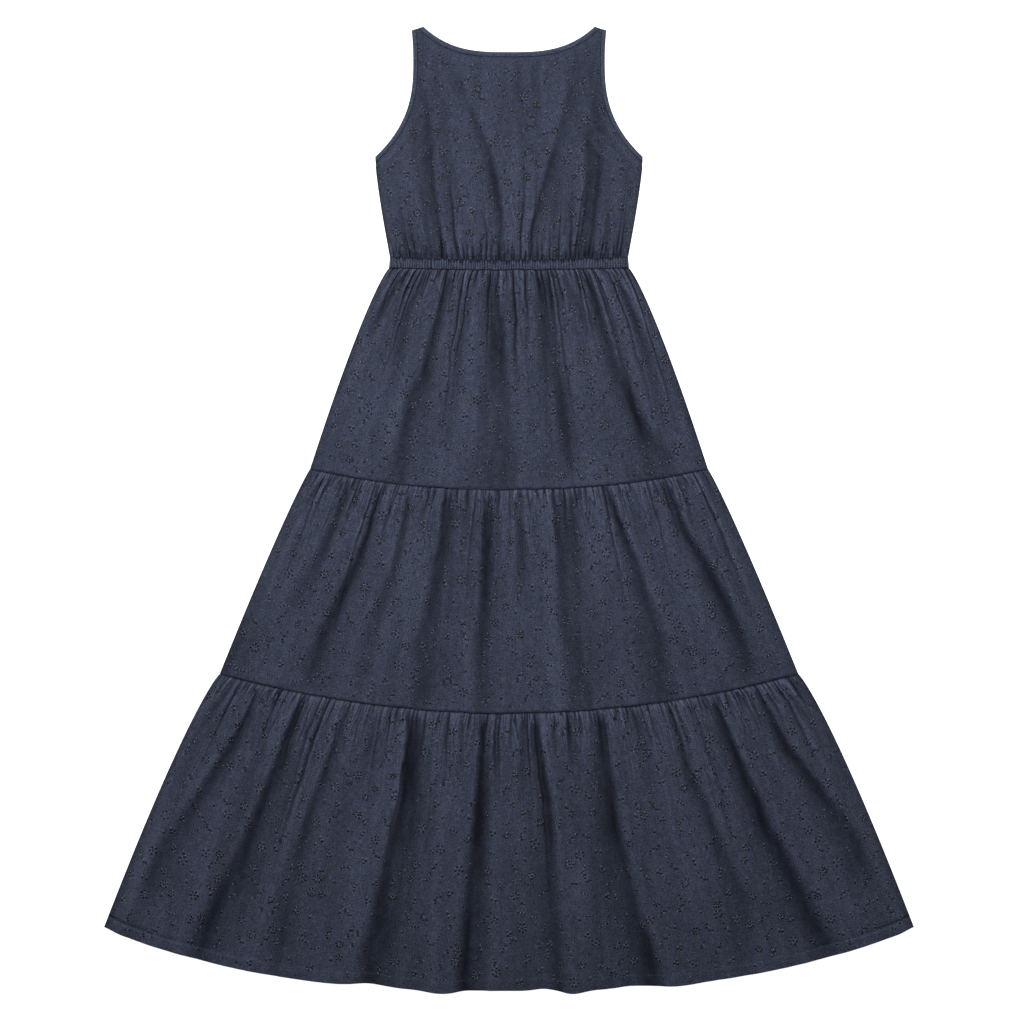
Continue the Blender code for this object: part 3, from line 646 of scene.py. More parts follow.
def flower(rng):
    """A ring of eyelets with stitches between them, and in most an eyelet in the middle."""
    count = rng.integers(5, 8)
    first, away = rng.uniform(0, TURN), rng.uniform(0.0033, 0.0053)
    stretch = rng.choice([1.0, 1.25])
    rows = []
    for i in range(count):
        t = first + i * TURN / count
        rows.append((away * np.cos(t), away * np.sin(t), t, 0.00160, stretch, 1))
        t = t + TURN / count / 2
        inner = away * rng.choice([0.62, 1.0])
        rows.append((inner * np.cos(t), inner * np.sin(t), t, 0.00070, 1.5, 0))
    return rows + [(0.0, 0.0, 0.0, 0.00155, 1.0, 1)] * (rng.random() < 0.7)


def sprig(rng):
    """Leaves in two rows along a slanting stem, half of them eyelets, and an eyelet at its tip."""
    lean = rng.choice([0.8, 0.95, 2.2]) + rng.uniform(-0.25, 0.25)
    rows = []
    for i in range(rng.integers(4, 8)):
        x, y = turned((i - 2.5) * 0.0026, 0.0012 * (-1) ** i, lean)
        leaf = (x, y, lean + 0.7 * (-1) ** i, 0.00155, 1.2, 1)
        rows.append(leaf if i % 3 else (x, y, lean, 0.0007, 1.8, 0))
    return rows + [(0.0112 * np.cos(lean), 0.0112 * np.sin(lean), 0.0, 0.0015, 1.0, 1)]


def cluster(rng):
    """One to three eyelets close together, each between two stitches."""
    count = rng.choice([1, 1, 2, 3])
    first, away = rng.uniform(0, TURN), 0.0 if count == 1 else 0.0026
    rows = []
    for i in range(count):
        t = first + i * TURN / count
        x, y, radius = away * np.cos(t), away * np.sin(t), rng.uniform(0.0017, 0.0021)
        rows.append((x, y, t, radius, 1.0, 1))
        rows.append((x, y + 1.4 * radius, 0.2, 0.0007, 1.7, 0))
        rows.append((x + 0.4 * radius, y - 1.4 * radius, -0.4, 0.0006, 1.7, 0))
    return rows


def row_of_eyelets(rng):
    """A short curved row, in which every other one is a stitch."""
    lean, bend = rng.uniform(0, TURN / 2), rng.uniform(-60, 60)
    rows = []
    for i in range(7):
        along = (i - 3) * 0.0023
        x, y = turned(along, bend * along**2, lean)
        rows.append((x, y, lean, 0.0015, 1.0, 1) if i % 2 else (x, y, lean, 0.0007, 1.5, 0))
    return rows


STITCH_PITCH = 0.0031
STITCH_HALF_WIDTH = 0.00032
STITCH_STRETCH = 3.7  # how many times longer than wide
LINE_END = 0.002  # a line of stitches stops this far from its ends

MOTIFS = [flower, sprig, cluster, row_of_eyelets]
MOTIF_ODDS = [0.22, 0.27, 0.38, 0.13]


def sew_line(name, panel, row, column):
    """Stitches end to end along a line on a panel, which is given by rows and columns of its grid."""
    x, y = on_grid(panel.x, row, column), on_grid(panel.y, row, column)
    along = np.append(0, np.cumsum(np.hypot(np.diff(x), np.diff(y))))
    at = np.arange(LINE_END, along[-1] - LINE_END, STITCH_PITCH)
    row, column = np.interp(at, along, row), np.interp(at, along, column)
    turn = np.interp(at, along, np.unwrap(np.arctan2(np.gradient(y), np.gradient(x))))
    radius, stretch = np.full_like(at, STITCH_HALF_WIDTH), np.full_like(at, STITCH_STRETCH)
    work = Worked(np.interp(at, along, x), np.interp(at, along, y), turn, radius, stretch)
    panel = panel._replace(locate=lambda x, y: (row, column), crease=0 * panel.crease)
    return sew(name, panel, [(work, stitch_shape())], seam_thread.material)


def embroider(panel, seed):
    """Scatters motifs on a grid of places, each moved at random by up to a third of the pitch."""
    rng = np.random.default_rng(seed)
    pitch = MOTIF_PITCH * (BACK_SPREAD if panel.downwards else 1.0)
    rows = []
    for row, y in enumerate(np.arange(panel.y.min(), panel.y.max(), pitch * ROW_SPACING)):
        for x in np.arange(panel.x.min(), panel.x.max(), pitch) + (row % 2) * pitch / 2:
            motif = rng.choice(MOTIFS, p=MOTIF_ODDS)
            place_x, place_y = np.array([x, y]) + rng.uniform(-MOTIF_WANDER, MOTIF_WANDER, 2) * pitch
            rows += [(place_x + a, place_y + b, *rest) for a, b, *rest in motif(rng)]
    rows = np.array(rows, dtype=float)
    rows[:, :2] += rng.normal(0, STITCH_WANDER, (len(rows), 2))
    rows[:, 3] *= rng.uniform(0.82, 1.15, len(rows))
    row, column = panel.locate(rows[:, 0], rows[:, 1])
    inside = (row > 8) & (row < panel.x.shape[0] - 7) & (column > 3) & (column < panel.x.shape[1] - 4)
    kinds = []
    for is_eyelet, shape in ((1, eyelet_shape()), (0, stitch_shape())):
        chosen = rows[inside & (rows[:, 5] == is_eyelet)]
        kinds.append((Worked(*chosen[:, :5].T), shape))
    piece = sew(f"eyelets_{panel.name}", panel, kinds, thread.material)
    return piece


# Bodice ----------------------------------------------------------------------
# One front and one back panel, cut in one with the wide shoulder straps, with a shallow boat neck. The
# elastic at the waist gathers them, and long slanting folds run up from it to the straps.

CASING = 0.0026
CASING_LEVEL = 0.0029
NECK_HALF_WIDTH = 0.115
NECK_DEPTH = 0.034
NECK_POWER = 3.1
SHOULDER_HALF_WIDTH = 0.131
SHOULDER_DROP = 0.005
ARMHOLE_NARROW = 0.129
ARMHOLE_NARROW_DEPTH = 0.045
UNDERARM_HALF_WIDTH = 0.180
UNDERARM_DEPTH = 0.175
ARMHOLE_POWER = 2.7
SIDE_POWER = 1.3
NECK_BINDING_WIDTH = 0.007
ARMHOLE_BINDING_WIDTH = 0.006
OUTLINE_POINTS = 80
EDGE_ROUND = 0.012  # the front rounds off towards its edges over this distance
SIDE_SHADE_WIDTH = 0.0045  # a front gets painted shade this close to its side seams
CASING_EDGE = 0.0008  # thickness of the casing at its edges
CASING_SECTION = (3.0, 0.55)  # powers of its crown, a flat pillow
NEAR_SEAM, FAR_FROM_SEAM = 0.035, 0.16  # pleats weaken over these distances from a seam

# How high the front is raised, at shares of its height from the top.
BODICE_HEIGHT_SHARES = (0.0, 0.10, 0.35, 0.70, 0.93, 0.985, 1.0)
BODICE_HEIGHTS = (0.0, 0.0022, 0.0042, 0.0062, 0.0072, 0.0066, 0.0050)
WAIST_OVERHANG = 0.0024  # how far the puffs of the bodice hang over the casing
CASING_MARGIN = 0.0004  # they are lifted from this far above it on,
CASING_CLEARANCE = 0.0001  # and lie this far off it
BODICE_CUT = (0.400, 0.310)
BODICE_GATHERS = Gathers(42, 0.0016, 0.030, 11)
BODICE_SHADING = Shading(trough=0.76, cleft=0.28, slit=0.88, shade=0.22, head=0.24, crest=0.26)
BODICE_SLIT_SHARE = 0.85
BODICE_STEEP = (0.0010, 0.0065)

# Both coordinates of a fold's line are in metres here, the first one up from the waist seam.
BODICE_FOLDS = (
    Fold(1, ((0.014, -0.0087), (0.061, -0.010), (0.0945, -0.0135), (0.1285, -0.024), (0.1685, -0.036),
             (0.2155, -0.055), (0.2625, -0.079)), (0.007, 0.014), 0.62, 0.34, 0.75),
    Fold(1, ((0.0115, -0.086), (0.0275, -0.090), (0.061, -0.097), (0.0945, -0.101), (0.1285, -0.101),
             (0.1755, -0.106), (0.229, -0.114)), (0.013, 0.018), 0.75, 0.32, 0.9),
    Fold(-1, ((0.0115, 0.0269), (0.0345, 0.0296), (0.065, 0.0336), (0.0945, 0.0444), (0.1285, 0.055),
              (0.182, 0.0686), (0.2155, 0.078), (0.2695, 0.0834)), (0.010, 0.016), 0.62, 0.34, 0.7),
    Fold(-1, ((0.014, 0.0928), (0.0475, 0.0995), (0.0745, 0.102), (0.108, 0.1035), (0.1485, 0.105),
              (0.1955, 0.109)), (0.013, 0.018), 0.70, 0.29, 0.9),
    Fold(1, ((0.014, -0.105), (0.0475, -0.110), (0.0945, -0.118), (0.1485, -0.124), (0.1885, -0.129)),
         (0.004, 0.008), 0.40, 0.28, 0.55),
    Fold(1, ((0.014, 0.1116), (0.0345, 0.113), (0.061, 0.117), (0.0945, 0.1224), (0.1485, 0.125),
             (0.1885, 0.125)), (0.005, 0.009), 0.40, 0.28, 0.6),
    Fold(1, ((0.014, -0.0686), (0.045, -0.0725), (0.081, -0.0767)), (0.005, 0.008), 0.45, 0.16, 0.8),
    Fold(1, ((0.0115, -0.047), (0.0475, -0.0525)), (0.004, 0.006), 0.45, 0.12, 0.9),
    Fold(1, ((0.014, -0.055), (0.061, -0.0619), (0.102, -0.0713), (0.135, -0.0794)),
         (0.003, 0.006), 0.30, 0.24, 0.35),
    Fold(1, ((0.014, -0.1264), (0.0475, -0.129)), (0.005, 0.008), 0.50, 0.13, 0.8),
    Fold(-1, ((0.014, 0.1295), (0.075, 0.1335)), (0.005, 0.010), 0.50, 0.17, 0.85),
    Fold(-1, ((0.0075, 0.145), (0.034, 0.149)), (0.004, 0.006), 0.45, 0.10, 0.8),
    Fold(-1, ((0.028, 0.058), (0.0945, 0.062)), (0.004, 0.008), 0.35, 0.20, 0.45),
    Fold(1, ((0.19, -0.083), (0.23, -0.087), (0.2695, -0.0955)), (0.010, 0.012), 0.35, 0.34, 0.2),
)


def near(distance, width):
    """1 at a distance of 0, falling smoothly to 0 at the given width."""
    return 1 - smooth(distance / width)


def pleated(from_seam, least, close, further):
    """How strong the pleats are: the least anywhere, and more near the seam that gathers them."""
    return least + close * near(from_seam, NEAR_SEAM) + further * near(from_seam, FAR_FROM_SEAM)


def crown(share, power, edge):
    """The rounded section of a strip at a share across it: (1 - |2 share - 1|^power)^edge."""
    return np.maximum(1 - np.abs(2 * share - 1) ** power, 0) ** edge


def casing_height(below_top):
    """Height of the waist casing's shown face at a distance below its top edge, and 0 above it."""
    share = np.clip(below_top / (CASING_FOOT.depth - CASING_TOP.depth), 0, 1)
    thickness = CASING_EDGE + (CASING - CASING_EDGE) * crown(share, *CASING_SECTION)
    return (CASING_LEVEL + thickness) * (below_top > 0)


def armhole_half_width(depth):
    """Narrowest a little below the shoulder: a square above that place, a power of the depth below it."""
    below = np.clip((depth - ARMHOLE_NARROW_DEPTH) / (UNDERARM_DEPTH - ARMHOLE_NARROW_DEPTH), 0, 1)
    above = np.clip((ARMHOLE_NARROW_DEPTH - depth) / (ARMHOLE_NARROW_DEPTH - SHOULDER_DROP), 0, 1)
    spread = (UNDERARM_HALF_WIDTH - ARMHOLE_NARROW) * below**ARMHOLE_POWER
    return ARMHOLE_NARROW + spread + (SHOULDER_HALF_WIDTH - ARMHOLE_NARROW) * above**2


def side_half_width(depth):
    """From the underarm in to the waist, as a power of the depth."""
    waist_depth = CASING_TOP.depth - CASING_TOP.rise
    share = np.clip((depth - UNDERARM_DEPTH) / (waist_depth - UNDERARM_DEPTH), 0, 1)
    return UNDERARM_HALF_WIDTH - (UNDERARM_HALF_WIDTH - CASING_TOP.half_width) * share**SIDE_POWER


def neck_edge(count):
    """Points (x, depth) of the neckline from shoulder tip to shoulder tip, closer together at its ends."""
    across = np.sin(np.linspace(-np.pi / 2, np.pi / 2, count)) * NECK_HALF_WIDTH
    depth = NECK_DEPTH * (1 - (np.abs(across) / NECK_HALF_WIDTH) ** NECK_POWER)
    return np.column_stack([across, depth])


def armhole_edge(count):
    """Points (x, depth) of the right armhole, from the shoulder down to the underarm."""
    depth = SHOULDER_DROP + (UNDERARM_DEPTH - SHOULDER_DROP) * np.linspace(0, 1, count) ** 0.8
    return np.column_stack([armhole_half_width(depth), depth])


def shift(edge, width, first_seam, last_seam):
    """An edge moved to its right, seen with depth downwards, by width. Its ends move along their seams."""
    along = np.gradient(edge, axis=0)
    along /= np.linalg.norm(along, axis=1)[:, None]
    aside = np.column_stack([-along[:, 1], along[:, 0]])
    for end, seam in ((0, first_seam), (-1, last_seam)):
        aside[end] = np.array(seam) / (np.array(seam) @ aside[end])
    return edge + width * aside


SHOULDER_SEAM = (SHOULDER_HALF_WIDTH - NECK_HALF_WIDTH, SHOULDER_DROP)
MIRRORED_SHOULDER_SEAM = (-SHOULDER_SEAM[0], SHOULDER_SEAM[1])
UNDERARM_SEAM = (
    side_half_width(UNDERARM_DEPTH + ARMHOLE_BINDING_WIDTH) - UNDERARM_HALF_WIDTH,
    ARMHOLE_BINDING_WIDTH,
)


def shift_neck(edge, width):
    return shift(edge, width, MIRRORED_SHOULDER_SEAM, SHOULDER_SEAM)


def shift_armhole(edge, width):
    return shift(edge, width, SHOULDER_SEAM, UNDERARM_SEAM)


def bodice_outline(inset):
    """(side, top): points (x, depth) down the armhole and side seam, and along shoulders and neckline."""
    armhole = shift_armhole(armhole_edge(OUTLINE_POINTS), ARMHOLE_BINDING_WIDTH + inset)
    seam_depths = np.linspace(armhole[-1, 1], CASING_TOP.depth + 0.003, OUTLINE_POINTS)[1:]
    side = np.column_stack([side_half_width(seam_depths), seam_depths])
    neck = shift_neck(neck_edge(2 * OUTLINE_POINTS), NECK_BINDING_WIDTH + inset)
    shoulder = armhole[:1]
    return np.concatenate([armhole, side]), np.concatenate([shoulder * (-1, 1), neck, shoulder])


def bodice_top(across, side, top):
    """Depth at which a column of the bodice starts, found by halving steps towards the neckline."""
    start = np.full_like(across, NECK_DEPTH)
    for _ in range(60):
        x = across * np.interp(start, side[:, 1], side[:, 0])
        start = 0.5 * start + 0.5 * np.interp(x, top[:, 0], top[:, 1])
    return start


def bodice_surface(columns, rows, inset, lower):
    """(across, down, x, depth, locate) for a bodice panel. locate gives the row and column of places."""
    side, top = bodice_outline(inset)
    corner = top[-2, 0] / np.interp(top[-2, 1], side[:, 1], side[:, 0])
    line = np.linspace(-1, 1, columns + 1)
    for sign in (-1, 1):
        line[np.argmin(np.abs(line - sign * corner))] = sign * corner
    shares = row_shares(rows, 0.25, 0.14)
    across, down = np.meshgrid(line, shares)
    starts = bodice_top(line, side, top)
    ends = seam_depth(CASING_TOP, line) - SEAM_GAP / 2 + lower
    depth = starts + (ends - starts) * down
    x = across * np.interp(depth, side[:, 1], side[:, 0])

    def locate(place_x, place_y):
        place_depth = LENGTH / 2 - place_y
        share = place_x / np.interp(place_depth, side[:, 1], side[:, 0])
        column = np.interp(share, line, np.arange(columns + 1))
        begin, finish = np.interp(share, line, starts), np.interp(share, line, ends)
        row = np.interp((place_depth - begin) / (finish - begin), shares, np.arange(rows))
        beyond = (np.abs(share) > 1) | (place_depth < begin) | (place_depth > finish)
        return np.where(beyond, -1.0, row), column

    return across, down, x, depth, locate


def dress(node, x, depth, shown, hidden, uv, crease, gather, locate):
    """(cloth, panel): the sheet in place of a panel's solid, and the panel that embroidery is laid on."""
    piece = shell(f"{node}_cloth", x, depth, shown, hidden, uv, crease, gather, eyelet_cotton)
    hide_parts(node)
    return piece, Panel(node, x, LENGTH / 2 - depth, shown, crease, locate, node.endswith("back"))


def bodice_front():
    """Height = the raised middle less the folds' troughs, plus the gathers' puffs at the waist, cut down by
    slits and clefts, plus puckers. It falls off towards the edges and hangs over the casing at the waist.
    The lines of folds and slits waver by a millimetre or two."""
    across, down, x, depth, locate = bodice_surface(380, 117, SEAM_GAP, 0.0)
    half_width = x[:, -1:]
    drawn = x + 0.0014 * waver(x, depth, 0.035, 31) + 0.0007 * waver(x, depth, 0.011, 32)
    waist = seam_depth(CASING_TOP, across)
    slit, shade, crest = gather_slits(BODICE_GATHERS, drawn, np.abs(waist - depth), half_width)
    depth = depth + WAIST_OVERHANG * (1 - 0.9 * slit) * smooth(1 - (waist - depth) / 0.012)
    from_side, from_waist = half_width - np.abs(x), waist - depth
    trough, cleft, head = fold_relief(BODICE_FOLDS, drawn, np.maximum(from_waist, 0), 1.0, BODICE_STEEP)
    raised = np.interp(down, BODICE_HEIGHT_SHARES, BODICE_HEIGHTS)
    puff = BODICE_GATHERS.height * bell(from_waist, BODICE_GATHERS.reach) * smooth(from_waist / 0.006)
    pucker = puckers(across * CASING_TOP.half_width, depth, 41)
    raised = cut_down(raised * (1 - trough) + puff, BODICE_SLIT_SHARE, slit, cleft, shade) + pucker
    bound = 1 - smooth((depth - UNDERARM_DEPTH) / ARMHOLE_BINDING_WIDTH)
    edge_level = SIDE_LEVEL + (BINDING_LEVEL - SIDE_LEVEL) * bound
    inside = smooth(from_side / EDGE_ROUND) * smooth((depth - depth[0]) / EDGE_ROUND)
    under = edge_level + inside * (INNER_LEVEL - edge_level + np.maximum(raised, 0))
    under = np.maximum(under, casing_height(CASING_MARGIN - from_waist) + CASING_CLEARANCE)
    # Painted shade in the crease attribute: a little over the whole bodice, more in folds, slits and puckers,
    # along its edge that hangs over the casing and near its side seams; painted highlight on its crests.
    crease = 0.09 + crease_shade(BODICE_SHADING, trough, cleft, slit, shade, head, crest)
    crease = crease + shade_of(pucker) * inside + 0.4 * near(from_waist + WAIST_OVERHANG, 0.0016)
    crease = np.clip(crease + 0.25 * near(from_side, SIDE_SHADE_WIDTH) * (1 - bound), -1, 1)
    gather = pleated(from_waist, 0.10, 0.45, 0.22)
    uv = (across * BODICE_CUT[0] / 2, depth)
    hidden = lowest_near(under, HIDDEN_STEP)
    return dress("bodice_front", x, depth, under + CLOTH, hidden, uv, crease, gather, locate)


BACK_CLOTH_LEVEL = 0.0005  # the back's shown face lies this far off the surface, on its embroidery
BACK_CLOTH = 0.0008
BACK_TOP = 0.0026  # no back comes up higher than this, where the fronts begin
BACK_EDGE = 0.030  # the backs have no creases this near their sides
BACK_PLEATS = 0.060  # their pleats end at this distance from the seam
BODICE_BACK_CREASES = Gathers(30, 0.0013, 0.050, 51)


def dress_back(node, across, x, depth, from_seam, creases, cut, locate):
    """(cloth, panel) of a back, which lies flat but for narrow creases that lift it: bells beside the seam
    that draws it in, some of which run on."""
    half_width = x[:, -1:]
    lift = creases.height * gather_slits(creases, x, from_seam, half_width)[0]
    lift = lift * smooth((half_width - np.abs(x)) / BACK_EDGE - 0.2)
    shown = BACK_CLOTH_LEVEL + lift
    hidden = np.minimum(BACK_CLOTH - lowest_near(-shown, HIDDEN_STEP), BACK_TOP)
    # Painted shade on the creases that lift the back.
    crease = np.clip(lift / creases.height, 0, 1)
    uv = (across * cut[0] / 2, depth)
    return dress(node, x, depth, shown, hidden, uv, crease, 0.8 * near(from_seam, BACK_PLEATS), locate)


def bodice_back():
    across, _, x, depth, locate = bodice_surface(160, 53, SEAM_GAP + BACK_SEAM_SHIFT, BACK_SEAM_SHIFT)
    from_waist = seam_depth(CASING_TOP, across) + BACK_SEAM_SHIFT - depth
    return dress_back("bodice_back", across, x, depth, from_waist, BODICE_BACK_CREASES, BODICE_CUT, locate)


bodice_back_cloth, bodice_back_panel = bodice_back()
bodice_back_eyelets = embroider(bodice_back_panel, 61)
bodice_front_cloth, bodice_front_panel = bodice_front()
bodice_front_eyelets = embroider(bodice_front_panel, 62)


# Bindings --------------------------------------------------------------------
# The neckline and both armholes are bound with narrow folded strips of the plain cloth, cut on the bias and
# sewn down along their inner edge. They are a little fuller than the panel and stand proud of it.

# Painted light: the same plain cloth as the panels, in a lighter colour for the light that the raised
# bindings and casing catch.
PAINTED_LIT_STRIP = (0.0640, 0.0780, 0.1240, 1.0)
BINDING = 0.0018
BINDING_EDGE = 0.0007  # its thickness at its edges
BINDING_SECTION = 9  # points across a binding
SEWN_ROW = 2.6  # where between them, counted from its seam, it is sewn down
SEWN_SHARE = 0.24  # the same as a share of its width

plain_cotton = cotton("plain cotton strip", PAINTED_LIT_STRIP, CREASE_SHADE_COLOUR, slubs=1.2)


def binding(name, inner, edge, level, node):
    """A strip between its seam line and the free edge. Its section is round at both edges, and pressed in
    where it is sewn."""
    share = 0.5 - 0.5 * np.cos(np.linspace(0, np.pi, BINDING_SECTION))[:, None]
    x = inner[:, 0] + (edge[:, 0] - inner[:, 0]) * share
    depth = inner[:, 1] + (edge[:, 1] - inner[:, 1]) * share
    section = crown(share, 2.5, 0.6)
    ripple = 0.00012 * waver(x, depth, 0.006, 71)
    pressed = bell(share - SEWN_SHARE, 0.16)  # in, by the stitches
    over = level + BINDING_EDGE + (BINDING - BINDING_EDGE) * section + ripple * section
    over = over - 0.0003 * pressed * (level > 0)
    under = level + 0.0006 * pressed * (level == 0) + 0 * x
    # Painted shade along the binding's sewn side and along its free edge.
    crease = np.broadcast_to(0.8 * near(share, 0.10) + 0.35 * smooth((share - 0.93) / 0.07), x.shape)
    along = np.append(0, np.cumsum(np.hypot(*np.diff(edge, axis=0).T)))
    uv = (np.broadcast_to(along, x.shape), 0.02 * share + 0 * x)
    shown, hidden = (over, under) if level else (under, over)
    # the columns run the other way where the faces would point inwards
    if edge[0, 0] > edge[-1, 0] or inner[len(inner) // 2, 0] > edge[len(edge) // 2, 0]:
        x, depth, shown, hidden, crease = (values[:, ::-1] for values in (x, depth, shown, hidden, crease))
    piece = shell(name, x, depth, shown, hidden, uv, crease, 0 * x, plain_cotton)
    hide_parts(node)
    panel = Panel(name, x, LENGTH / 2 - depth, shown, 0 * x, None, not level)
    column = np.arange(x.shape[1], dtype=float)
    stitches = sew_line(f"stitches_{node}", panel, SEWN_ROW + 0 * column, column)
    return piece


for layer, level, inset in (("back", 0.0, BACK_SEAM_SHIFT), ("front", BINDING_LEVEL, 0.0)):
    neck, armhole = neck_edge(97), armhole_edge(73)
    inner = shift_neck(neck, NECK_BINDING_WIDTH + inset)
    binding(f"neck_binding_{layer}_strip", inner, neck, level, f"neck_binding_{layer}")
    inner = shift_armhole(armhole, ARMHOLE_BINDING_WIDTH + inset)
    for side, mirror in (("right", (1, 1)), ("left", (-1, 1))):
        node = f"armhole_binding_{side}_{layer}"
        binding(f"{node}_strip", inner * mirror, armhole * mirror, level, node)


# Waist casing ----------------------------------------------------------------
# A narrow tunnel of the plain cloth over a flat elastic, which gathers it into small upright ribs. They are
# 3.5 mm apart, and flatten out towards the tunnel's two edges and its ends.

RIB_PITCH = 0.0035
RIB_DEPTH = 0.0010


def casing(layer, level, lower, columns, node):
    """Its section is a flat pillow. The dents between ribs are (half a cosine and a half)^3, and waver."""
    across, down = np.meshgrid(np.linspace(-1, 1, columns + 1), np.linspace(0, 1, 17))
    down = 0.5 - 0.5 * np.cos(np.pi * down)
    top = seam_depth(CASING_TOP, across) + SEAM_GAP / 2 + lower
    foot = seam_depth(CASING_FOOT, across) - SEAM_GAP / 2 + lower
    depth = top + (foot - top) * down
    half_width = CASING_TOP.half_width + (CASING_FOOT.half_width - CASING_TOP.half_width) * down
    x = across * half_width
    phase = x / RIB_PITCH + 0.55 * waver(x, depth / 3, 0.011, 82)
    dent = (0.5 + 0.5 * np.cos(TURN * phase)) ** 3 * (0.75 + 0.25 * waver(x, depth, 0.008, 83))
    pillow = crown(down, *CASING_SECTION)
    ends = smooth((1 - np.abs(across)) * half_width / 0.003)
    over = level + CASING_EDGE + (CASING - CASING_EDGE) * pillow * (0.35 + 0.65 * ends)
    over = over - RIB_DEPTH * dent * pillow * ends
    under = np.full_like(x, level)
    # Painted shade in the dents between ribs and along both edges, faint painted highlight on the rest, and
    # weak painted pleats.
    edges = 0.8 * near(down, 0.08) + 0.7 * near(1 - down, 0.07)
    crease = np.clip(1.15 * dent + edges - 0.04, -1, 1)
    shown, hidden = (over, under) if level else (under, over)
    piece = shell(f"{node}_strip", x, depth, shown, hidden, (x, depth), crease, 0.3 + 0 * x, plain_cotton)
    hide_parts(node)
    return piece


casing("back", 0.0, BACK_SEAM_SHIFT, 140, "waist_casing_back")
casing("front", CASING_LEVEL, 0.0, 528, "waist_casing_front")


# Tiers -----------------------------------------------------------------------
# Three tiers, each a front and a back panel that is wider than the edge it is gathered onto. The seams are
# turned inside and pressed up, so the upper tier's foot lies smooth above the gathers.

# flare is the power of the place down by which a tier widens, heights are how high it is raised at
# HEIGHT_SHARES, shading is how much painted shade its folds get, creases are its back's, and cut is the flat
# panel's width and height.
Tier = namedtuple(
    "Tier",
    "name top foot flare heights folds shading gathers creases columns rows back_columns back_rows cut",
)
HEIGHT_SHARES = (0.0, 0.012, 0.03, 0.10, 0.35, 0.70, 0.93, 0.992, 1.0)
TOP_TIER_FOLDS = (
    Fold(-1, ((0.03, -0.840), (0.15, -0.890), (0.25, -0.920), (0.38, -0.926)),
         (0.004, 0.012), 0.60, 0.50, 0.8),
    Fold(-1, ((0.04, -0.694), (0.15, -0.711), (0.28, -0.739), (0.37, -0.735)),
         (0.003, 0.010), 0.55, 0.55, 0.8),
    Fold(-1, ((0.03, -0.515), (0.23, -0.510), (0.48, -0.546), (0.73, -0.592), (0.90, -0.606)),
         (0.004, 0.028), 0.90, 1.15, 1.0),
    Fold(-1, ((0.02, -0.395), (0.30, -0.340), (0.55, -0.330)), (0.003, 0.010), 0.35, 0.70, 0.6),
    Fold(1, ((0.05, -0.090), (0.14, -0.074), (0.41, -0.027), (0.57, -0.012), (0.82, 0.016)),
         (0.012, 0.034), 0.90, 1.15, 0.9),
    Fold(-1, ((0.03, -0.155), (0.27, -0.132), (0.50, -0.135)), (0.003, 0.006), 0.30, 0.70, 0.9),
    Fold(1, ((0.04, 0.314), (0.25, 0.317), (0.48, 0.325), (0.78, 0.341)), (0.015, 0.030), 0.85, 1.05, 0.9),
    Fold(-1, ((0.03, 0.212), (0.20, 0.229), (0.39, 0.224)), (0.003, 0.005), 0.30, 0.60, 0.8),
    Fold(1, ((0.04, 0.450), (0.15, 0.497), (0.26, 0.545)), (0.003, 0.010), 0.50, 0.42, 0.8),
    Fold(1, ((0.03, 0.645), (0.17, 0.652), (0.32, 0.655), (0.60, 0.705), (0.80, 0.784), (0.91, 0.834)),
         (0.006, 0.028), 0.90, 1.15, 1.0),
    Fold(1, ((0.03, 0.843), (0.14, 0.855), (0.28, 0.888), (0.45, 0.919)), (0.004, 0.012), 0.60, 0.60, 0.8),
    Fold(-1, ((0.02, 0.040), (0.20, 0.075)), (0.003, 0.006), 0.35, 0.38, 0.6),
)
MIDDLE_TIER_FOLDS = (
    Fold(-1, ((0.02, -0.906), (0.12, -0.937), (0.19, -0.942)), (0.003, 0.008), 0.60, 0.32, 0.8),
    Fold(-1, ((0.01, -0.803), (0.20, -0.787), (0.46, -0.817), (0.58, -0.835)),
         (0.004, 0.014), 0.60, 0.75, 0.8),
    Fold(-1, ((0.02, -0.658), (0.18, -0.643), (0.44, -0.660), (0.67, -0.706), (0.94, -0.727)),
         (0.005, 0.024), 0.90, 1.10, 1.0),
    Fold(-1, ((0.02, -0.503), (0.19, -0.485), (0.49, -0.511), (0.84, -0.540)),
         (0.004, 0.018), 0.55, 1.05, 0.7),
    Fold(-1, ((0.02, -0.324), (0.17, -0.308), (0.51, -0.329), (0.84, -0.334)),
         (0.010, 0.034), 0.80, 1.10, 0.9),
    Fold(-1, ((0.02, -0.210), (0.18, -0.205)), (0.003, 0.005), 0.40, 0.28, 0.8),
    Fold(-1, ((0.02, -0.128), (0.32, -0.113), (0.70, -0.119), (0.91, -0.113)),
         (0.012, 0.022), 0.90, 1.15, 1.0),
    Fold(1, ((0.03, 0.020), (0.19, 0.059), (0.36, 0.068)), (0.003, 0.009), 0.45, 0.60, 0.7),
    Fold(-1, ((0.02, 0.219), (0.24, 0.214), (0.47, 0.209), (0.89, 0.228)), (0.022, 0.030), 0.60, 1.10, 0.8),
    Fold(1, ((0.03, 0.312), (0.28, 0.299), (0.47, 0.290)), (0.004, 0.008), 0.35, 0.60, 0.7),
    Fold(1, ((0.02, 0.485), (0.16, 0.514), (0.41, 0.548), (0.64, 0.568), (0.95, 0.566)),
         (0.006, 0.030), 0.90, 1.15, 1.0),
    Fold(1, ((0.03, 0.672), (0.19, 0.674)), (0.003, 0.006), 0.45, 0.30, 0.8),
    Fold(1, ((0.02, 0.786), (0.19, 0.786), (0.45, 0.829), (0.69, 0.862), (0.92, 0.853)),
         (0.006, 0.024), 0.90, 1.10, 1.0),
    Fold(1, ((0.02, 0.957), (0.12, 0.954)), (0.003, 0.006), 0.45, 0.25, 0.8),
)
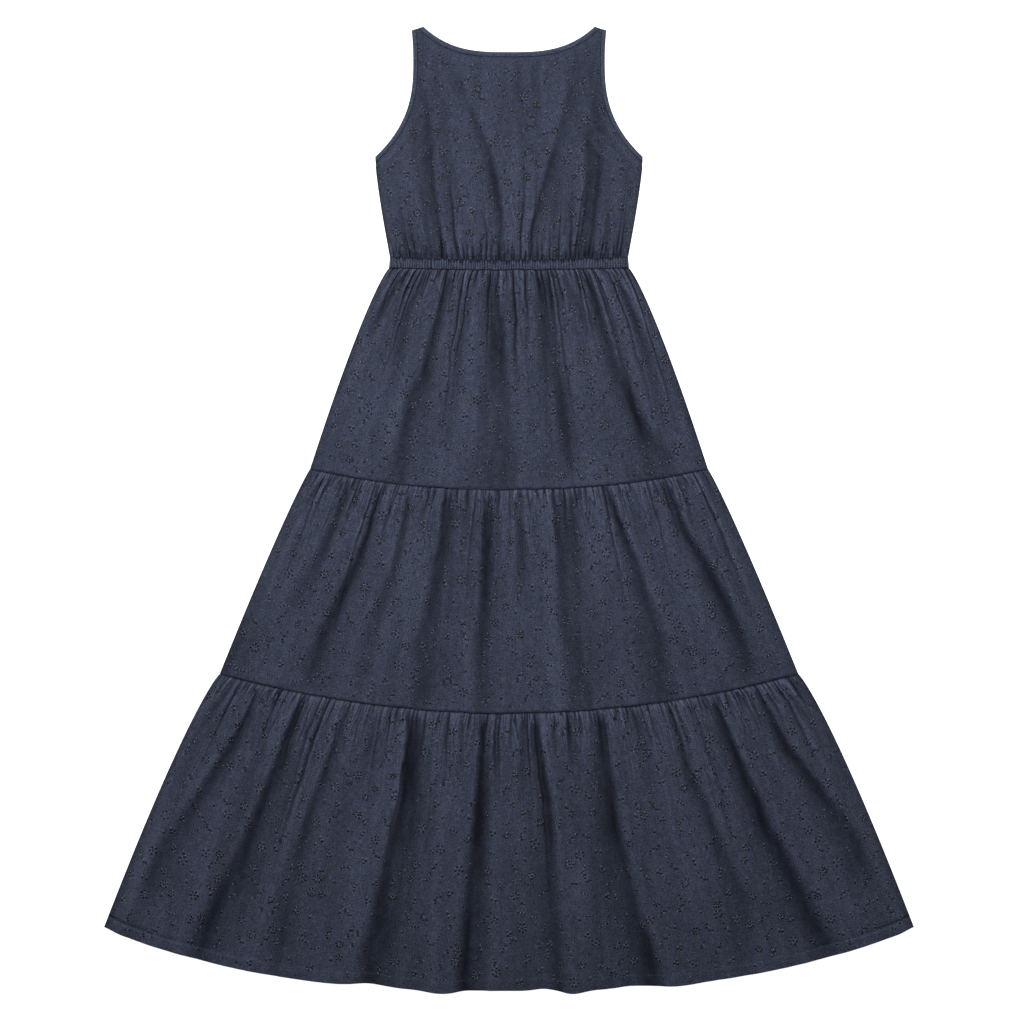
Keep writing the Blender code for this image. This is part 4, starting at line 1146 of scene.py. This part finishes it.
BOTTOM_TIER_FOLDS = (
    Fold(-1, ((0.01, -0.942), (0.17, -0.958), (0.25, -0.973)), (0.003, 0.008), 0.50, 0.32, 0.8),
    Fold(-1, ((0.01, -0.857), (0.18, -0.856), (0.34, -0.880), (0.50, -0.908), (0.70, -0.940)),
         (0.005, 0.030), 0.75, 0.95, 0.9),
    Fold(-1, ((0.02, -0.712), (0.23, -0.708), (0.46, -0.730), (0.72, -0.753), (0.92, -0.790)),
         (0.006, 0.040), 1.00, 1.12, 1.0),
    Fold(-1, ((0.02, -0.558), (0.20, -0.561), (0.46, -0.586), (0.66, -0.597), (0.86, -0.593)),
         (0.005, 0.030), 0.60, 1.08, 0.8),
    Fold(-1, ((0.01, -0.340), (0.22, -0.331), (0.51, -0.331), (0.76, -0.359), (0.96, -0.372)),
         (0.013, 0.060), 0.95, 1.30, 1.0),
    Fold(-1, ((0.02, -0.091), (0.19, -0.091), (0.44, -0.107), (0.78, -0.116), (0.93, -0.124)),
         (0.008, 0.034), 1.00, 1.30, 1.0),
    Fold(1, ((0.02, 0.053), (0.33, 0.051)), (0.003, 0.010), 0.35, 0.50, 0.6),
    Fold(1, ((0.01, 0.096), (0.23, 0.114), (0.57, 0.127), (0.96, 0.139)), (0.010, 0.036), 0.90, 1.30, 0.9),
    Fold(1, ((0.02, 0.322), (0.25, 0.319), (0.52, 0.322), (0.80, 0.353), (0.93, 0.379)),
         (0.012, 0.054), 1.00, 1.30, 1.0),
    Fold(1, ((0.03, 0.550), (0.16, 0.551), (0.44, 0.585), (0.79, 0.626)), (0.005, 0.030), 0.65, 1.05, 0.8),
    Fold(1, ((0.02, 0.706), (0.16, 0.704), (0.36, 0.727), (0.67, 0.760), (0.95, 0.806)),
         (0.008, 0.040), 1.00, 1.12, 1.0),
    Fold(1, ((0.02, 0.848), (0.22, 0.863), (0.51, 0.923), (0.62, 0.947), (0.80, 0.940)),
         (0.006, 0.028), 0.80, 0.90, 0.9),
    Fold(1, ((0.02, 0.926), (0.23, 0.953)), (0.003, 0.008), 0.50, 0.32, 0.8),
    Fold(-1, ((0.02, -0.450), (0.20, -0.447)), (0.003, 0.008), 0.40, 0.36, 0.7),
    Fold(-1, ((0.02, -0.205), (0.16, -0.200)), (0.003, 0.007), 0.40, 0.28, 0.7),
    Fold(1, ((0.02, 0.205), (0.18, 0.212)), (0.003, 0.007), 0.40, 0.30, 0.7),
    Fold(1, ((0.02, 0.440), (0.18, 0.446)), (0.003, 0.007), 0.40, 0.30, 0.7),
)
TIERS = (
    Tier(
        "top_tier", CASING_FOOT, UPPER_SEAM, 0.82,
        (0.0004, 0.0036, 0.0048, 0.0075, 0.0082, 0.0062, 0.0030, 0.0022, 0.0002),
        TOP_TIER_FOLDS, 0.66, Gathers(43, 0.0027, 0.040, 12), Gathers(36, 0.0013, 0.060, 52),
        460, 101, 180, 49, (0.580, 0.300),
    ),
    Tier(
        "middle_tier", UPPER_SEAM, LOWER_SEAM, 0.91,
        (0.0004, 0.0036, 0.0050, 0.0080, 0.0088, 0.0068, 0.0030, 0.0022, 0.0002),
        MIDDLE_TIER_FOLDS, 0.82, Gathers(56, 0.0020, 0.034, 13), Gathers(46, 0.0013, 0.060, 53),
        560, 105, 210, 53, (0.860, 0.325),
    ),
    Tier(
        "bottom_tier", LOWER_SEAM, HEM, 0.84,
        (0.0004, 0.0036, 0.0052, 0.0088, 0.0108, 0.0108, 0.0090, 0.0080, 0.0078),
        BOTTOM_TIER_FOLDS, 0.86, Gathers(74, 0.0020, 0.048, 14), Gathers(60, 0.0013, 0.070, 54),
        640, 117, 240, 61, (1.250, 0.390),
    ),
)

# Where the hem hangs lower or higher than its smooth line, because a fold runs out there.
Lobe = namedtuple("Lobe", "place half_length drop")
HEM_LOBES = (
    Lobe(-0.188, 0.030, -0.0040),
    Lobe(-0.091, 0.026, 0.0046),
    Lobe(0.046, 0.017, -0.0026),
    Lobe(0.086, 0.020, 0.0047),
    Lobe(0.163, 0.023, -0.0026),
    Lobe(0.231, 0.028, 0.0022),
)
LOBE_SHARE = 0.20
HEM_TURNING = 0.0155  # width of the hem that is turned up and stitched
HEM_FULLNESS = 0.0005
GROOVE_ABOVE, GROOVE_WIDTH, GROOVE_DEPTH = 0.0008, 0.0007, 0.0006  # the groove above its upper edge
HEM_HIGHLIGHT_BELOW, HEM_HIGHLIGHT_WIDTH = 0.0022, 0.0012  # where the painted highlight lies below that edge, and its width
HEM_STITCHES = 0.0012  # they lie this far below its upper edge
USUAL_GATHER = 0.0020  # the height of gathers at which slits get painted shade as set below
TIER_SLIT_SHARE = 0.88
TIER_EDGE_ROUND = 0.024  # the front of a tier rounds off towards its sides over this distance


def hem_drop(x):
    """A sum of bells, one for each lobe."""
    drop = np.zeros_like(x)
    for lobe in HEM_LOBES:
        drop += lobe.drop * bell(x - lobe.place, lobe.half_length)
    return drop


def tier_surface(tier, across, down, lower):
    """(x, depth, half width, distance from top seam, distance from foot) at shares across and down."""
    half_width = tier.top.half_width + (tier.foot.half_width - tier.top.half_width) * down**tier.flare
    top = seam_depth(tier.top, across) + SEAM_GAP / 2 + lower
    foot = seam_depth(tier.foot, across)
    if tier.foot is HEM:
        hanging = smooth((down - 1 + LOBE_SHARE) / LOBE_SHARE)
        foot = foot + hem_drop(across * HEM.half_width) * hanging
    else:
        foot = foot - SEAM_GAP / 2 + lower
    depth = top + (foot - top) * down
    return across * half_width, depth, half_width, depth - top, foot - depth


def tier_locate(tier, columns, shares, lower):
    """A function that gives the row and column of places. It finds shares down and across in turn."""

    def locate(place_x, place_y):
        place_depth = LENGTH / 2 - place_y
        down = np.full_like(place_x, 0.5)
        for _ in range(30):
            half_width = tier_surface(tier, 0 * down, np.clip(down, 0, 1), lower)[2]
            across = np.clip(place_x / half_width, -1, 1)
            _, top, _, _, height = tier_surface(tier, across, 0 * down, lower)
            down = 0.5 * down + 0.5 * (place_depth - top) / height
        beyond = (np.abs(place_x) >= half_width) | (down < 0) | (down > 1)
        row = np.interp(down, shares, np.arange(len(shares)))
        return np.where(beyond, -1.0, row), (across + 1) / 2 * columns

    return locate


def tier_front(tier):
    """(cloth, panel, distance from the foot). Height = the raised middle less the folds' troughs, plus the
    gathers' puffs and slow billows, cut down by slits and clefts, plus puckers. It falls off towards the
    sides. The hem is fuller by a step, with a groove above it."""
    shares = row_shares(tier.rows, 0.12, 0.14)
    across, down = np.meshgrid(np.linspace(-1, 1, tier.columns + 1), shares)
    x, depth, half_width, from_top, from_foot = tier_surface(tier, across, down, 0.0)
    seed = tier.gathers.seed * 10
    wander = 0.0018 * waver(x, depth, 0.040, seed) + 0.0008 * waver(x, depth, 0.012, seed + 1)
    drawn = across + wander / half_width
    trough, cleft, head = fold_relief(tier.folds, drawn, down, half_width)
    slit, shade, crest = gather_slits(tier.gathers, drawn * half_width, from_top, half_width)
    raised = np.interp(down, HEIGHT_SHARES, tier.heights)
    puff = tier.gathers.height * bell(from_top, tier.gathers.reach) * smooth(from_top / 0.005)
    billow = 0.0009 * waver(x, depth / 3, 0.045, seed + 3) * smooth(from_top / 0.08)
    pucker = puckers(across * tier.foot.half_width, depth, seed + 4)
    raised = cut_down(raised * (1 - trough) + puff + billow, TIER_SLIT_SHARE, slit, cleft, shade) + pucker
    fine = tier.gathers.height / USUAL_GATHER
    # Painted shade in the crease attribute: in folds, slits and puckers, along the top seam and the foot
    # seam, in the hem's groove and near the sides; painted highlight on the crests, just below the top seam
    # and just below the hem's upper edge.
    deep = tier.shading * smooth(from_top / 0.02)
    shading = Shading(
        trough=deep, cleft=0.28, slit=0.92 * fine, shade=0.14 * fine, head=0.24, crest=0.50 * fine,
    )
    crease = crease_shade(shading, trough, cleft, slit, shade, head, crest) + shade_of(pucker)
    crease = crease - 0.05 * fine * near(from_top, 0.05) + 0.7 * near(from_top, 0.0013)
    gather = pleated(from_top, 0.12, 0.60, 0.36)
    if tier.foot is HEM:
        turning = smooth((HEM_TURNING - from_foot) / 0.0006 + 0.5)
        groove = bell(from_foot - HEM_TURNING - GROOVE_ABOVE, GROOVE_WIDTH)
        hem_highlight = bell(from_foot - HEM_TURNING + HEM_HIGHLIGHT_BELOW, HEM_HIGHLIGHT_WIDTH)
        raised = raised + HEM_FULLNESS * turning - GROOVE_DEPTH * groove
        # Painted shade in the groove and painted highlight just below the hem's upper edge.
        crease = crease + 0.75 * groove - 0.25 * hem_highlight
    else:
        crease = crease + 0.6 * near(from_foot, 0.0008)
    from_side = (1 - np.abs(across)) * half_width
    inside = smooth(from_side / TIER_EDGE_ROUND)
    crease = np.clip(crease + 0.25 * (1 - inside) + 0.2 * near(from_side, SIDE_SHADE_WIDTH), -1, 1)
    under = SIDE_LEVEL + inside * (INNER_LEVEL - SIDE_LEVEL + np.maximum(raised, 0))
    uv = (across * tier.cut[0] / 2, depth)
    hidden = lowest_near(under, HIDDEN_STEP)
    locate = tier_locate(tier, tier.columns, shares, 0.0)
    cloth, panel = dress(f"{tier.name}_front", x, depth, under + CLOTH, hidden, uv, crease, gather, locate)
    return cloth, panel, from_foot


def tier_back(tier):
    """(cloth, panel, distance from the foot)."""
    shares = row_shares(tier.back_rows, 0.2, 0.2)
    across, down = np.meshgrid(np.linspace(-1, 1, tier.back_columns + 1), shares)
    x, depth, _, from_top, from_foot = tier_surface(tier, across, down, BACK_SEAM_SHIFT)
    locate = tier_locate(tier, tier.back_columns, shares, BACK_SEAM_SHIFT)
    node = f"{tier.name}_back"
    cloth, panel = dress_back(node, across, x, depth, from_top, tier.creases, tier.cut, locate)
    return cloth, panel, from_foot


def sew_hem(panel, from_foot):
    """Stitches along the top of the turned hem."""
    rows, columns = from_foot.shape
    row = [np.interp(HEM_TURNING - HEM_STITCHES, line[::-1], np.arange(rows)[::-1]) for line in from_foot.T]
    return sew_line(f"stitches_{panel.name}", panel, np.array(row), np.arange(columns, dtype=float))


for number, tier in enumerate(TIERS):
    back_cloth, back_panel, back_from_foot = tier_back(tier)
    with_back = [embroider(back_panel, 63 + 2 * number)]
    front_cloth, front_panel, front_from_foot = tier_front(tier)
    with_front = [embroider(front_panel, 64 + 2 * number)]
    if tier.foot is HEM:
        with_back.append(sew_hem(back_panel, back_from_foot))
        with_front.append(sew_hem(front_panel, front_from_foot))
